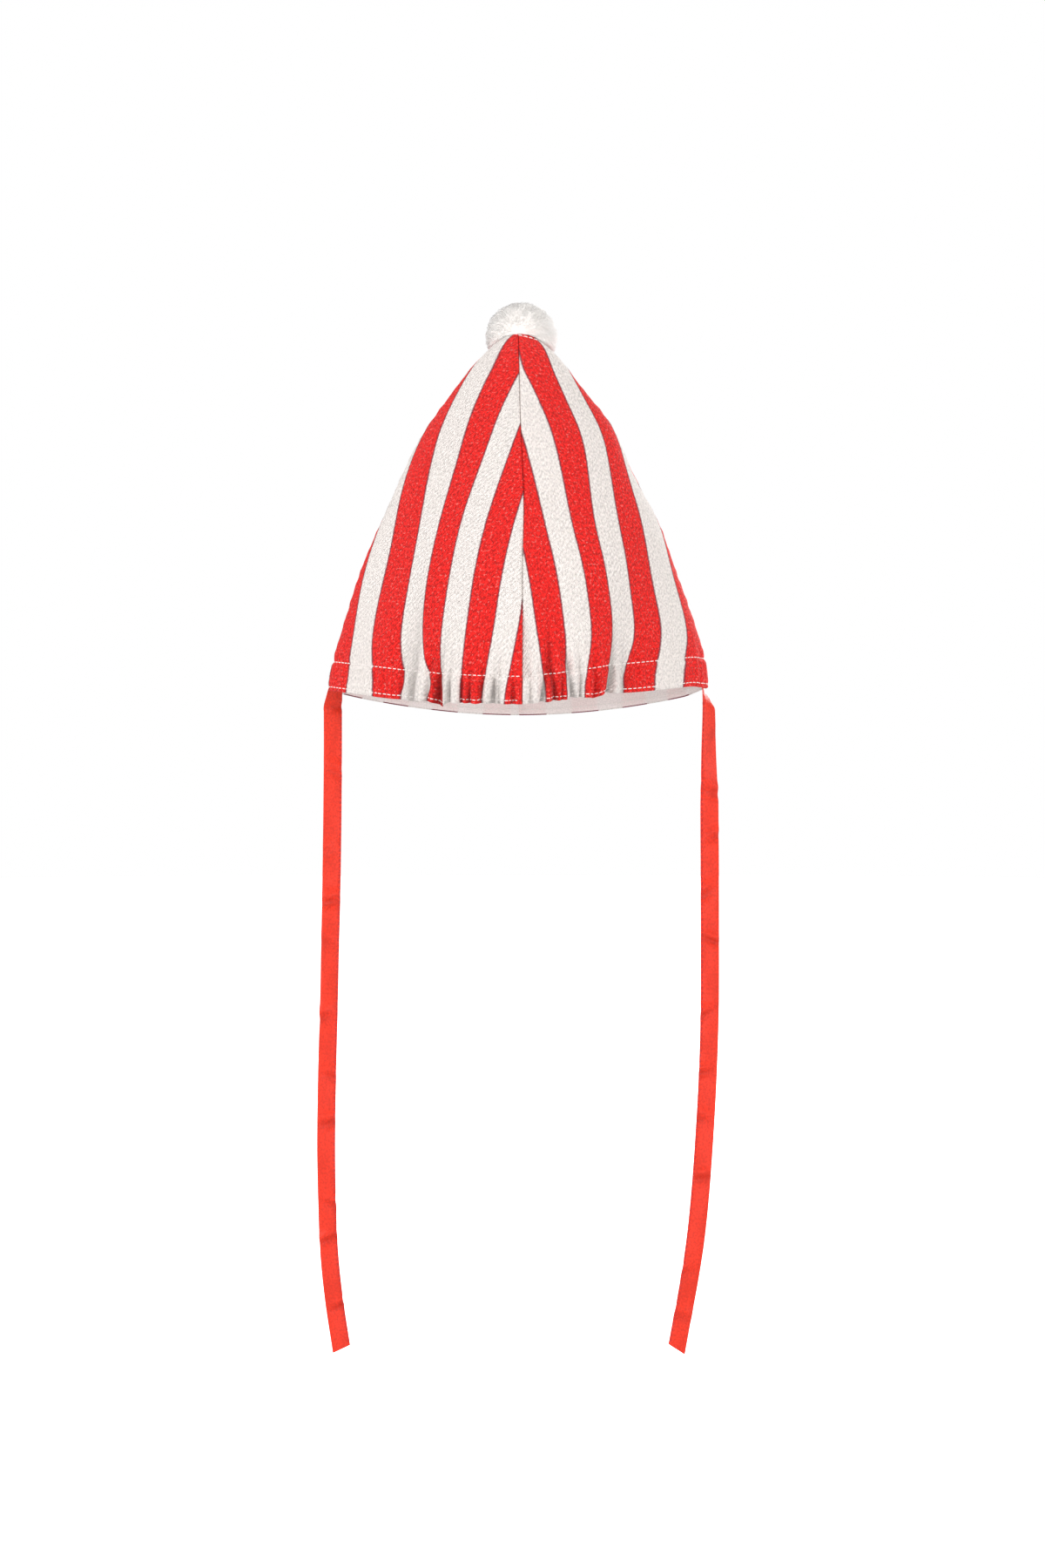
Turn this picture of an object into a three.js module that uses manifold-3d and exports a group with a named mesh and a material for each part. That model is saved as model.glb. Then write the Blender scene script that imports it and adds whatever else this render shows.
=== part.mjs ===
// A child's clown hat: a soft pointed cap of four striped cloth gores with a white lining, a yarn
// pompom on the tip and a ribbon tie hanging from each side seam.
// Millimetres, +Z up. The origin is the centre of the rim, level with the two corners where the
// ties are sewn in. +Y is the wearer's front, so the gathered back of the hat is at -Y.
import * as THREE from "three";
import { mergeVertices } from "three/addons/utils/BufferGeometryUtils.js";
import Module from "manifold-3d";

// Cloth
const clothThickness = 1.2;
const liningThickness = 1.0;
const layerGap = 0.5;
const seamGap = 0.3;
const hemRollThickness = 3.2;
const hemRollHeight = 2;
const hemRollStep = 0.4;
const liningHemInset = 0.5;

// Crown: one row for each level, from the hem to the tip. height is above the tie corners,
// halfWidth is to a side seam, front and back are the depths to the centre seams, and lens is
// how far the level is drawn from an oval towards a pointed lens, creased at the side seams.
const sections = [
  { height: 0, halfWidth: 109, front: 71, back: 58.5, lens: 0.4 },
  { height: 18, halfWidth: 106, front: 71.5, back: 60, lens: 0.4 },
  { height: 34, halfWidth: 101.5, front: 70.5, back: 61, lens: 0.38 },
  { height: 64, halfWidth: 92, front: 65, back: 58, lens: 0.34 },
  { height: 94, halfWidth: 80.5, front: 56.5, back: 50.5, lens: 0.28 },
  { height: 124, halfWidth: 66.5, front: 46.5, back: 42, lens: 0.2 },
  { height: 150, halfWidth: 53.5, front: 37, back: 33.5, lens: 0.14 },
  { height: 172, halfWidth: 38.5, front: 26.5, back: 24, lens: 0.08 },
  { height: 188, halfWidth: 25.5, front: 18, back: 16, lens: 0 },
  { height: 199, halfWidth: 14, front: 10.5, back: 9.5, lens: 0 },
  { height: 205, halfWidth: 4, front: 4, back: 4, lens: 0 },
];
const hemDip = { front: 11.8, back: 9.7, reach: 60 };

// Gathers of the elastic in the back hem: one row for each fold. across is measured from the
// centre back seam, depth goes inwards, and reach is the height over which the fold dies away.
const gathers = [
  { across: -66, depth: 1.6, halfWidth: 7, reach: 26 },
  { across: -46, depth: 3.2, halfWidth: 5, reach: 34 },
  { across: -36, depth: 1.4, halfWidth: 5, reach: 18 },
  { across: -20, depth: 1.8, halfWidth: 5, reach: 20 },
  { across: -6, depth: 1.2, halfWidth: 4.5, reach: 16 },
  { across: 15, depth: 2.4, halfWidth: 5, reach: 30 },
  { across: 30, depth: 2.2, halfWidth: 5, reach: 30 },
  { across: 44, depth: -1.6, halfWidth: 6, reach: 24 },
  { across: 56, depth: 2.6, halfWidth: 6, reach: 34 },
];

// Gores: angle runs anticlockwise seen from above, from the right side seam.
const quarterTurn = Math.PI / 2;
const gores = [
  { name: "front_right", start: 0, columns: 12 },
  { name: "front_left", start: quarterTurn, columns: 12 },
  { name: "back_left", start: 2 * quarterTurn, columns: 28 },
  { name: "back_right", start: 3 * quarterTurn, columns: 28 },
];

// Ribbon ties: the middle of each ribbon, from the hem down, in the plane of the side seams.
const ribbon = { width: 10.5, thickness: 1, corner: 0.3, steps: 20 };
const tieRoutes = {
  tie_left: [
    { x: -106.5, z: -0.5 },
    { x: -107, z: -16 },
    { x: -107, z: -60 },
    { x: -108.5, z: -152 },
    { x: -109.8, z: -207 },
    { x: -110.6, z: -255 },
    { x: -110.4, z: -287 },
    { x: -109, z: -319 },
    { x: -106, z: -350 },
    { x: -102, z: -378 },
  ],
  tie_right: [
    { x: 109, z: -1 },
    { x: 110, z: -14 },
    { x: 109.4, z: -50 },
    { x: 109.5, z: -103 },
    { x: 109.5, z: -178 },
    { x: 108, z: -228 },
    { x: 104, z: -289 },
    { x: 98.5, z: -334 },
    { x: 90.5, z: -378 },
  ],
};

// Pompom: a core with pointed locks of yarn all round, sitting over the tip and leaning forward.
const pompom = {
  centre: new THREE.Vector3(1.8, 15, 205.6),
  radius: 21.6,
  flattening: 0.95,
  coreRadius: 17,
  coreDetail: 2,
  locks: 38,
  lockRadius: 5.4,
  lockTipRadius: 3.3,
  lockTipLength: 1.2,
  lockRoot: 9,
  lockSink: 1,
  lockSides: 5,
  lengthSwing: 1.2,
  lengthStep: 2.3,
  clearance: 0.4,
};

// Colours and finishes
const stripedCloth = new THREE.MeshStandardMaterial({ color: 0xd8302a, roughness: 0.85, metalness: 0 });
const liningCloth = new THREE.MeshStandardMaterial({ color: 0xf2ece6, roughness: 0.9, metalness: 0 });
const ribbonSatin = new THREE.MeshStandardMaterial({ color: 0xe63a2c, roughness: 0.45, metalness: 0 });
const whiteYarn = new THREE.MeshStandardMaterial({ color: 0xf6f3ee, roughness: 0.95, metalness: 0 });

const wasm = await Module();
wasm.setup();

// The value of one column of the sections at a level, smooth through the rows.
function sectionValue(column, level) {
  const last = sections.length - 1;
  const row = Math.min(Math.floor(level), last - 1);
  const along = level - row;
  const at = (index) => sections[THREE.MathUtils.clamp(index, 0, last)][column];
  const [before, from, to, after] = [at(row - 1), at(row), at(row + 1), at(row + 2)];
  const slope = to - before;
  const bend = 2 * before - 5 * from + 4 * to - after;
  const turn = 3 * from - before - 3 * to + after;
  return 0.5 * (2 * from + along * (slope + along * (bend + along * turn)));
}

// A point of the crown's outer surface, before the gathers.
function smoothPoint(angle, level) {
  const sine = Math.sin(angle);
  const side = sine > 0 ? "front" : "back";
  const lens = sectionValue("lens", level);
  const swell = sine * (1 - lens + lens * Math.abs(sine));
  const height = sectionValue("height", level);
  const dip = hemDip[side] * sine * sine * Math.exp(-((height / hemDip.reach) ** 2));
  return new THREE.Vector3(
    sectionValue("halfWidth", level) * Math.cos(angle),
    sectionValue(side, level) * swell,
    height - dip,
  );
}

function outwardNormal(angle, level) {
  const step = 1e-3;
  const top = sections.length - 1;
  const around = smoothPoint(angle + step, level).sub(smoothPoint(angle - step, level));
  const higher = smoothPoint(angle, Math.min(level + step, top));
  const upward = higher.sub(smoothPoint(angle, Math.max(level - step, 0)));
  return around.cross(upward).normalize();
}

// How far the gathers draw the cloth in at a point of the back.
function gatherDepth(point, level) {
  if (point.y >= 0) return 0;
  const shrink = sectionValue("halfWidth", level) / sections[0].halfWidth;
  const above = sectionValue("height", level);
  let depth = 0;
  for (const fold of gathers) {
    const offset = (point.x - fold.across * shrink) / fold.halfWidth;
    depth += fold.depth * Math.exp(-(offset ** 2) - (above / fold.reach) ** 2);
  }
  return depth;
}

// A point of a cloth layer that lies a given inset inside the outer surface.
function layerPoint(angle, level, inset) {
  const point = smoothPoint(angle, level);
  const depth = inset + gatherDepth(point, level);
  return point.addScaledVector(outwardNormal(angle, level), -depth);
}

// Shares of a gore's angle at which its columns stand, evenly spread along the hem.
function columnShares(gore) {
  const samples = 400;
  const lengths = [0];
  let last = smoothPoint(gore.start, 0);
  for (let i = 1; i <= samples; i += 1) {
    const next = smoothPoint(gore.start + (quarterTurn * i) / samples, 0);
    lengths.push(lengths[i - 1] + next.distanceTo(last));
    last = next;
  }
  const shares = [];
  for (let column = 0; column <= gore.columns; column += 1) {
    const target = (lengths[samples] * column) / gore.columns;
    const index = lengths.findIndex((length) => length >= target - 1e-9);
    shares.push(index / samples);
  }
  return shares;
}

// The angle of a column at a level, with half the seam's gap left free at both edges.
function columnAngle(gore, share, level) {
  const step = 1e-3;
  const trim = (angle) => {
    const speed = smoothPoint(angle + step, level).distanceTo(smoothPoint(angle - step, level)) / (2 * step);
    return seamGap / 2 / speed;
  };
  const from = gore.start + trim(gore.start);
  const to = gore.start + quarterTurn - trim(gore.start + quarterTurn);
  return THREE.MathUtils.lerp(from, to, share);
}

// A closed panel between two insets. Each row gives a level and the insets of its two faces.
function panelGeometry(gore, rows) {
  const shares = columnShares(gore);
  const positions = [];
  const indices = [];
  const faceCount = shares.length * rows.length;
  for (const face of ["outer", "inner"]) {
    for (const row of rows) {
      for (const share of shares) {
        const angle = columnAngle(gore, share, row.level);
        positions.push(...layerPoint(angle, row.level, row[face]).toArray());
      }
    }
  }
  const outer = (column, row) => row * shares.length + column;
  const inner = (column, row) => faceCount + outer(column, row);
  const quad = (a, b, c, d) => indices.push(a, b, c, a, c, d);
  const lastColumn = shares.length - 1;
  const lastRow = rows.length - 1;
  for (let row = 0; row < lastRow; row += 1) {
    for (let column = 0; column < lastColumn; column += 1) {
      const [right, up] = [column + 1, row + 1];
      quad(outer(column, row), outer(right, row), outer(right, up), outer(column, up));
      quad(inner(column, row), inner(column, up), inner(right, up), inner(right, row));
    }
    quad(outer(0, row), outer(0, row + 1), inner(0, row + 1), inner(0, row));
    quad(outer(lastColumn, row), inner(lastColumn, row), inner(lastColumn, row + 1), outer(lastColumn, row + 1));
  }
  for (let column = 0; column < lastColumn; column += 1) {
    const right = column + 1;
    quad(outer(column, 0), inner(column, 0), inner(right, 0), outer(right, 0));
    quad(outer(column, lastRow), outer(right, lastRow), inner(right, lastRow), inner(column, lastRow));
  }
  const geometry = new THREE.BufferGeometry();
  geometry.setAttribute("position", new THREE.Float32BufferAttribute(positions, 3));
  geometry.setIndex(indices);
  geometry.computeVertexNormals();
  return geometry;
}

// The level of a height near the hem, where the first two sections are almost straight.
const hemLevel = (height) => height / sections[1].height;

// Levels from the casing to the tip: close together over the gathers, one for each section above.
const gatherLevels = [0.5, 1, 1.5, 2, 2.5];
const upperLevels = sections.map((_, index) => index).filter((index) => index > 2);

// The outer cloth, whose hem turns in under the edge of the lining.
function clothRows() {
  const roll = (height) => ({ level: hemLevel(height), outer: 0, inner: hemRollThickness });
  const plain = (level) => ({ level, outer: 0, inner: clothThickness });
  const levels = [hemLevel(hemRollHeight + hemRollStep), ...gatherLevels, ...upperLevels];
  return [roll(0), roll(hemRollHeight), ...levels.map(plain)];
}

// The lining, a gap inside the cloth, from the top of the hem roll to just under the tip.
function liningRows() {
  const outer = clothThickness + layerGap;
  const edge = hemLevel(hemRollHeight + hemRollStep + liningHemInset);
  const levels = [edge, 0.5, 1, 2, 3, 5, 7, 9];
  return levels.map((level) => ({ level, outer, inner: outer + liningThickness }));
}

// A flat ribbon along its route.
function tieGeometry(route) {
  const [halfWidth, halfThickness] = [ribbon.width / 2, ribbon.thickness / 2];
  const [flatWidth, flatThickness] = [halfWidth - ribbon.corner, halfThickness - ribbon.corner];
  const outline = new THREE.Shape([
    new THREE.Vector2(-halfThickness, -flatWidth),
    new THREE.Vector2(-flatThickness, -halfWidth),
    new THREE.Vector2(flatThickness, -halfWidth),
    new THREE.Vector2(halfThickness, -flatWidth),
    new THREE.Vector2(halfThickness, flatWidth),
    new THREE.Vector2(flatThickness, halfWidth),
    new THREE.Vector2(-flatThickness, halfWidth),
    new THREE.Vector2(-halfThickness, flatWidth),
  ]);
  const middle = new THREE.CatmullRomCurve3(route.map(({ x, z }) => new THREE.Vector3(x, 0, z)));
  return new THREE.ExtrudeGeometry(outline, { steps: ribbon.steps, extrudePath: middle });
}

// Boolean joins and cuts
function solidOf(geometry) {
  const bare = geometry.clone();
  bare.deleteAttribute("normal");
  bare.deleteAttribute("uv");
  const merged = mergeVertices(bare);
  const vertProperties = merged.attributes.position.array;
  const triVerts = new Uint32Array(merged.index.array);
  return new wasm.Manifold(new wasm.Mesh({ numProp: 3, vertProperties, triVerts }));
}

function geometryOf(solid) {
  const mesh = solid.getMesh();
  const geometry = new THREE.BufferGeometry();
  geometry.setAttribute("position", new THREE.BufferAttribute(mesh.vertProperties, 3));
  geometry.setIndex(new THREE.BufferAttribute(mesh.triVerts, 1));
  geometry.computeVertexNormals();
  return geometry;
}

// The crown's tip as one solid, grown by the pompom's clearance, from below the pompom upwards.
function tipSolid() {
  const columns = 48;
  const levels = [5.5, 6, 6.5, 7, 7.5, 8, 8.5, 9, 9.5, 10];
  const positions = [];
  for (const level of levels) {
    for (let column = 0; column < columns; column += 1) {
      const angle = (2 * Math.PI * column) / columns;
      positions.push(...layerPoint(angle, level, -pompom.clearance).toArray());
    }
  }
  const indices = [];
  const vertex = (column, row) => row * columns + (column % columns);
  const foot = positions.length / 3;
  const top = foot + 1;
  positions.push(0, 0, sectionValue("height", levels[0]));
  positions.push(0, 0, sectionValue("height", levels.at(-1)) + pompom.clearance);
  for (let column = 0; column < columns; column += 1) {
    const right = column + 1;
    for (let row = 0; row + 1 < levels.length; row += 1) {
      indices.push(vertex(column, row), vertex(right, row), vertex(right, row + 1));
      indices.push(vertex(column, row), vertex(right, row + 1), vertex(column, row + 1));
    }
    indices.push(foot, vertex(right, 0), vertex(column, 0));
    indices.push(top, vertex(column, levels.length - 1), vertex(right, levels.length - 1));
  }
  const geometry = new THREE.BufferGeometry();
  geometry.setAttribute("position", new THREE.Float32BufferAttribute(positions, 3));
  geometry.setIndex(indices);
  return solidOf(geometry);
}

// One pointed lock of yarn, standing along a direction from the pompom's centre.
function lockGeometry(direction, length) {
  const profile = [
    new THREE.Vector2(0, pompom.lockRoot),
    new THREE.Vector2(pompom.lockRadius, pompom.coreRadius - pompom.lockSink),
    new THREE.Vector2(pompom.lockTipRadius, length - pompom.lockTipLength),
    new THREE.Vector2(0, length),
  ];
  const lock = new THREE.LatheGeometry(profile, pompom.lockSides);
  const upright = new THREE.Vector3(0, 1, 0);
  lock.applyQuaternion(new THREE.Quaternion().setFromUnitVectors(upright, direction));
  return lock;
}

function pompomGeometry() {
  const goldenAngle = Math.PI * (3 - Math.sqrt(5));
  let ball = solidOf(new THREE.IcosahedronGeometry(pompom.coreRadius, pompom.coreDetail));
  for (let index = 0; index < pompom.locks; index += 1) {
    const height = 1 - (2 * (index + 0.5)) / pompom.locks;
    const reach = Math.sqrt(1 - height * height);
    const turn = goldenAngle * index;
    const direction = new THREE.Vector3(reach * Math.cos(turn), reach * Math.sin(turn), height);
    const swing = Math.sin(pompom.lengthStep * index);
    const length = pompom.radius + (pompom.lengthSwing * (swing - 1)) / 2;
    ball = ball.add(solidOf(lockGeometry(direction, length)));
  }
  const placed = geometryOf(ball);
  placed.scale(1, 1, pompom.flattening);
  placed.translate(...pompom.centre.toArray());
  return geometryOf(solidOf(placed).subtract(tipSolid()));
}

function part(name, geometry, material) {
  const mesh = new THREE.Mesh(geometry, material);
  mesh.name = name;
  return mesh;
}

const hat = new THREE.Group();
for (const gore of gores) {
  hat.add(part(`gore_${gore.name}`, panelGeometry(gore, clothRows()), stripedCloth));
  hat.add(part(`lining_${gore.name}`, panelGeometry(gore, liningRows()), liningCloth));
}
for (const [name, route] of Object.entries(tieRoutes)) {
  hat.add(part(name, tieGeometry(route), ribbonSatin));
}
hat.add(part("pompom", pompomGeometry(), whiteYarn));

export default hat;
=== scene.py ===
"""Dresses the solids of a striped clown hat: cloth, lining, stitches, ribbon ties and a yarn pompom."""

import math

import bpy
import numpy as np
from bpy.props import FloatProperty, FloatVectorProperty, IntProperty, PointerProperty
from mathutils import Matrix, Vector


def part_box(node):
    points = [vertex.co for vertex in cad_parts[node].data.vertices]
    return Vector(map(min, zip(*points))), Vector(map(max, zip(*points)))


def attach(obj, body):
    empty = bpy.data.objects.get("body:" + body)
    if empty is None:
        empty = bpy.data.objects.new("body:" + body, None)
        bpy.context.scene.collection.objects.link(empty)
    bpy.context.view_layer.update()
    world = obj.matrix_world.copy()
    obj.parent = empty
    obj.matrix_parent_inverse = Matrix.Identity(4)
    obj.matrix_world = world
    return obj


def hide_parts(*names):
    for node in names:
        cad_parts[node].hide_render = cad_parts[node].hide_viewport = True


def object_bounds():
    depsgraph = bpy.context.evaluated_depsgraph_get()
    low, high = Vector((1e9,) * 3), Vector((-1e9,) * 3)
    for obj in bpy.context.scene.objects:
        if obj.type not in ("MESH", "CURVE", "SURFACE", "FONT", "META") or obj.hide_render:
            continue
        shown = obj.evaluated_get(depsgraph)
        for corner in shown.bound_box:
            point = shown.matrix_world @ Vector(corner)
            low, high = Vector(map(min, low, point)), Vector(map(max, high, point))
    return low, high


bl_info = {
    "name": "Clown Hat",
    "version": (1, 0, 0),
    "blender": (4, 5, 0),
    "location": "View3D > Sidebar > Clown Hat",
    "description": "Builds the cloth, lining, stitches, ribbons and pompom of a striped clown hat",
    "category": "Object",
}

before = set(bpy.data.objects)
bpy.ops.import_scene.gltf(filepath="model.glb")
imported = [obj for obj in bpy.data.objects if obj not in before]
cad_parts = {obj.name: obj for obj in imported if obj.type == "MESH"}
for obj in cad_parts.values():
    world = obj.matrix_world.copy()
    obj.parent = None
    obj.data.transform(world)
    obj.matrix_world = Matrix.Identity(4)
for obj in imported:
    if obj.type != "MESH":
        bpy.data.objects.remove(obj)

MM = 0.001
UP = np.array((0.0, 0.0, 1.0))
BLACK = (0.0, 0.0, 0.0)
WHITE = (1.0, 1.0, 1.0)
BODY = "root"
CAD_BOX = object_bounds()

# Level sections of the crown from the rim to the tip, in millimetres, and how pointed the side seams are.
SECTIONS = np.array((
    (0.0, 109.0, 71.0, 58.5, 0.40),
    (18.0, 106.0, 71.5, 60.0, 0.40),
    (34.0, 101.5, 70.5, 61.0, 0.38),
    (64.0, 92.0, 65.0, 58.0, 0.34),
    (94.0, 80.5, 56.5, 50.5, 0.28),
    (124.0, 66.5, 46.5, 42.0, 0.20),
    (150.0, 53.5, 37.0, 33.5, 0.14),
    (172.0, 38.5, 26.5, 24.0, 0.08),
    (188.0, 25.5, 18.0, 16.0, 0.0),
    (199.0, 14.0, 10.5, 9.5, 0.0),
    (205.0, 4.0, 4.0, 4.0, 0.0),
))
HEIGHT, HALF_WIDTH, FRONT, BACK, LENS = range(5)
SECTIONS[:, :LENS] *= MM
TOP_LEVEL = len(SECTIONS) - 1

# The rim hangs lower at the front and the back than at the sides.
FRONT_DIP = 11.8 * MM
BACK_DIP = 9.7 * MM
DIP_REACH = 60 * MM

# The four panels, in quarter turns anticlockwise from the right side seam.
GORES = ("front_right", "front_left", "back_left", "back_right")

# Folds that the elastic draws into the back hem, in millimetres: place across, depth, half width,
# reach up the panel, how far the fold leans across for each millimetre up, and how far it lifts the hem.
GATHERS = np.array((
    (-66.0, 1.2, 2.5, 24.0, 0.0, 0.3),
    (-59.5, 3.2, 3.6, 40.0, -0.05, 0.0),
    (-51.5, 2.6, 2.2, 24.0, 0.1, 0.6),
    (-45.5, 6.5, 2.2, 20.0, 0.05, -0.4),
    (-43.0, 1.0, 2.0, 12.0, 0.0, -1.9),
    (-38.8, 3.4, 1.6, 17.0, 0.0, 1.2),
    (-32.0, 2.8, 1.4, 16.0, 0.02, 0.7),
    (-27.5, 3.2, 1.6, 15.0, 0.03, 0.6),
    (-20.6, 2.8, 1.4, 20.0, 0.05, 0.7),
    (-14.6, 3.6, 1.8, 18.0, 0.05, 0.6),
    (-10.8, 2.2, 1.4, 15.0, 0.05, 0.3),
    (-3.5, 1.2, 1.6, 13.0, 0.0, 0.2),
    (6.0, 1.0, 1.6, 14.0, 0.1, 0.3),
    (12.4, 4.4, 1.6, 20.0, 0.16, 1.1),
    (19.4, 4.6, 1.9, 26.0, -0.06, 0.9),
    (24.0, 2.0, 1.3, 16.0, 0.0, 0.5),
    (29.4, 6.0, 1.8, 21.0, -0.1, 1.4),
    (34.0, 3.0, 1.4, 18.0, 0.0, 0.7),
    (41.5, 1.6, 2.0, 16.0, 0.06, -0.9),
    (49.6, 6.0, 2.0, 28.0, 0.2, 1.5),
    (58.0, 2.2, 3.0, 26.0, 0.1, 0.2),
))

# Shares of the depth and the half width of those folds, how far up they lift the hem, how much the cloth
# puffs out between two of them and how far up, and the depth of a fold that gets the full painted shade.
GATHER_SHARE = 0.85
GATHER_SPREAD = 1.15
GATHER_LIFT_REACH = 12 * MM
GATHER_PUFF = 0.34
GATHER_PUFF_REACH = 20 * MM
FOLD_SHADE_DEPTH = 2.4 * MM

# The tight bend of a crease and how fast it opens, as shares of its half width.
CREASE_BEND = 0.3
CREASE_OPENING = 0.75

# The back hem is drawn up on the right and hangs a little low on the left. At the right side seam, where
# the back meets the front, half of that lift is left.
RIGHT_LIFT = 3.6 * MM
RIGHT_LIFT_SPAN = (0 * MM, 58 * MM)
SIDE_SPAN = (96 * MM, 109 * MM)
SIDE_LIFT_SHARE = 0.5
LEFT_SAG = 0.9 * MM
LEFT_SAG_PLACE = (-50 * MM, 34 * MM)
LIFT_REACH = 48 * MM

# The upper seam of the casing sags at the middle of the back.
CASING_SAG = 2.0 * MM
CASING_SAG_SPAN = 48 * MM
CASING_SAG_REACH = 9 * MM

# How far the centre back seam wanders to the right, in millimetres: height and distance. The cloth beside
# it follows by a power of its place across the panel.
SEAM_DRIFT = np.array((
    (0.0, 1.8), (50.0, 2.0), (77.0, 2.5), (96.0, 2.8), (109.0, 2.6),
    (121.0, 2.0), (146.0, 1.1), (171.0, 0.6), (184.0, 0.0), (205.0, -0.5),
)) * MM
DRIFT_POWER = 3

# Broad soft dents, in millimetres: place across, height, depth, half width, half height, and their side.
ON_BACK, ON_FRONT = -1, 1
DENTS = np.array((
    (-60.0, 30.0, 2.6, 7.0, 20.0, ON_BACK),
    (-66.0, 60.0, 2.6, 12.0, 34.0, ON_BACK),
    (-37.0, 70.0, 1.4, 12.0, 30.0, ON_BACK),
    (66.0, 44.0, 2.0, 12.0, 32.0, ON_BACK),
    (30.0, 60.0, -1.2, 18.0, 34.0, ON_BACK),
    (-48.0, 40.0, 2.2, 16.0, 40.0, ON_FRONT),
    (44.0, 62.0, 1.8, 15.0, 44.0, ON_FRONT),
    (4.0, 20.0, -1.2, 24.0, 30.0, ON_FRONT),
))

# Number of waves in all uneven ripples, and spread of their lengths as shares of the one asked for.
WAVES = 6
WAVE_STRETCH = (0.7, 1.5)

# Soft waves of the whole cloth, and the heights between which all relief dies away below the tip.
SOFT_WAVE = 55 * MM
SOFT_SEED = 11
RELIEF_END = (205 * MM, 180 * MM)

# Ripples in the casing and above it: how far the elastic gathers the back, how quickly the casing's puff
# starts, its share where nothing is gathered, how much deeper the gathered ripples are, for both rows of
# ripples the wavelength, the slant and the seed, and for the upper row how far up it goes and how quickly
# it starts.
GATHERED_SPAN = 62 * MM
CASING_START = 3 * MM
PLAIN_PUFF = 0.3
GATHERED_PUCKER = 2.2
CASING_RIPPLE = (6 * MM, 0.12, 31)
ABOVE_RIPPLE = (8 * MM, 0.3, 41)
ABOVE_REACH = 9 * MM
ABOVE_START = 2 * MM

# Grooves that stitches and seams draw into the cloth: depth and half width.
CASING_GROOVE = (0.55 * MM, 0.9 * MM)
EDGE_GROOVE = (0.35 * MM, 0.7 * MM)
SEAM_SHOULDER = (0.3 * MM, 1.2 * MM)

# Puckers beside a seam between two panels: share of the cloth's pucker, distance, wavelength and seed.
SEAM_PUCKER = 0.6
SEAM_PUCKER_PLACE = 2.5 * MM
SEAM_PUCKER_WAVE = 7 * MM
SEAM_PUCKER_SEED = 51

# Where the stripe borders lie on the back panels, in millimetres from the panel's middle line: at the
# hem, in the gathers, half way up, below the tip and at the tip. Red follows the first border of a panel.
STRIPE_BORDERS = {
    "back_left": (
        (-62.0, -62.0, -61.0, -63.0, -66.0),
        (-43.0, -43.0, -45.0, -47.0, -50.0),
        (-21.0, -21.0, -27.0, -30.0, -34.0),
        (-3.5, -0.6, -7.5, -12.5, -15.5),
        (13.0, 16.5, 5.5, 5.5, 1.6),
        (22.5, 21.5, 18.5, 21.5, 18.5),
        (33.0, 33.0, 33.5, 36.0, 33.0),
        (45.0, 45.5, 49.0, 51.0, 49.0),
        (58.0, 58.5, 62.6, 66.0, 65.0),
    ),
    "back_right": (
        (-51.0, -51.0, -53.0, -52.0, -49.0),
        (-39.3, -39.3, -37.6, -35.6, -33.0),
        (-29.5, -29.0, -22.0, -18.0, -10.8),
        (-15.8, -15.3, -8.8, -0.5, 3.8),
        (-5.0, -5.2, 7.0, 14.5, 19.4),
        (14.0, 15.0, 24.5, 29.0, 38.0),
        (34.5, 35.5, 46.0, 47.0, 54.0),
        (67.0, 67.0, 63.0, 64.0, 70.0),
    ),
}
# Heights over which the borders pass from each of those places to the next.
BORDER_EDGE = 7 * MM
BORDER_HEM = 6 * MM
BORDER_REACH = 20 * MM
BORDER_TOP = (80 * MM, 150 * MM)
BORDER_TIP = (178 * MM, 204 * MM)

# On the front panels the stripes are evenly spaced: one border where red starts, in millimetres.
FRONT_BORDER = {"front_right": 53.5, "front_left": -64.2}

# Ribbon routes in the plane of the side seams, x and z in millimetres. The first point is inside the hem.
TIE_ROUTES = {
    "tie_left": (
        (-107.0, 7.0), (-107.0, -0.5), (-107.0, -16.0), (-107.0, -60.0), (-108.5, -152.0),
        (-109.8, -207.0), (-110.6, -255.0), (-110.4, -287.0), (-109.0, -319.0), (-106.0, -350.0),
        (-102.0, -378.0),
    ),
    "tie_right": (
        (109.6, 7.0), (110.0, 0.5), (110.2, -12.5), (109.4, -50.0), (109.5, -103.0),
        (109.5, -178.0), (108.0, -228.0), (104.0, -289.0), (98.5, -334.0), (90.5, -378.0),
    ),
}


def length(name, description, millimetres):
    """A size property, given in millimetres and kept in metres."""
    return FloatProperty(name=name, description=description, default=millimetres * MM, unit="LENGTH",
                         subtype="DISTANCE", precision=5)


def colour(name, description, value):
    """A colour property in linear red, green and blue."""
    return FloatVectorProperty(name=name, description=description, default=value, size=3, subtype="COLOR",
                               min=0.0, max=1.0)


def fraction(name, description, value):
    """A share property from 0 to 1."""
    return FloatProperty(name=name, description=description, default=value, min=0.0, max=1.0)


def watts(name, description, value):
    """A lamp's power property in watts."""
    return FloatProperty(name=name, description=description, default=value, unit="POWER")


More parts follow.
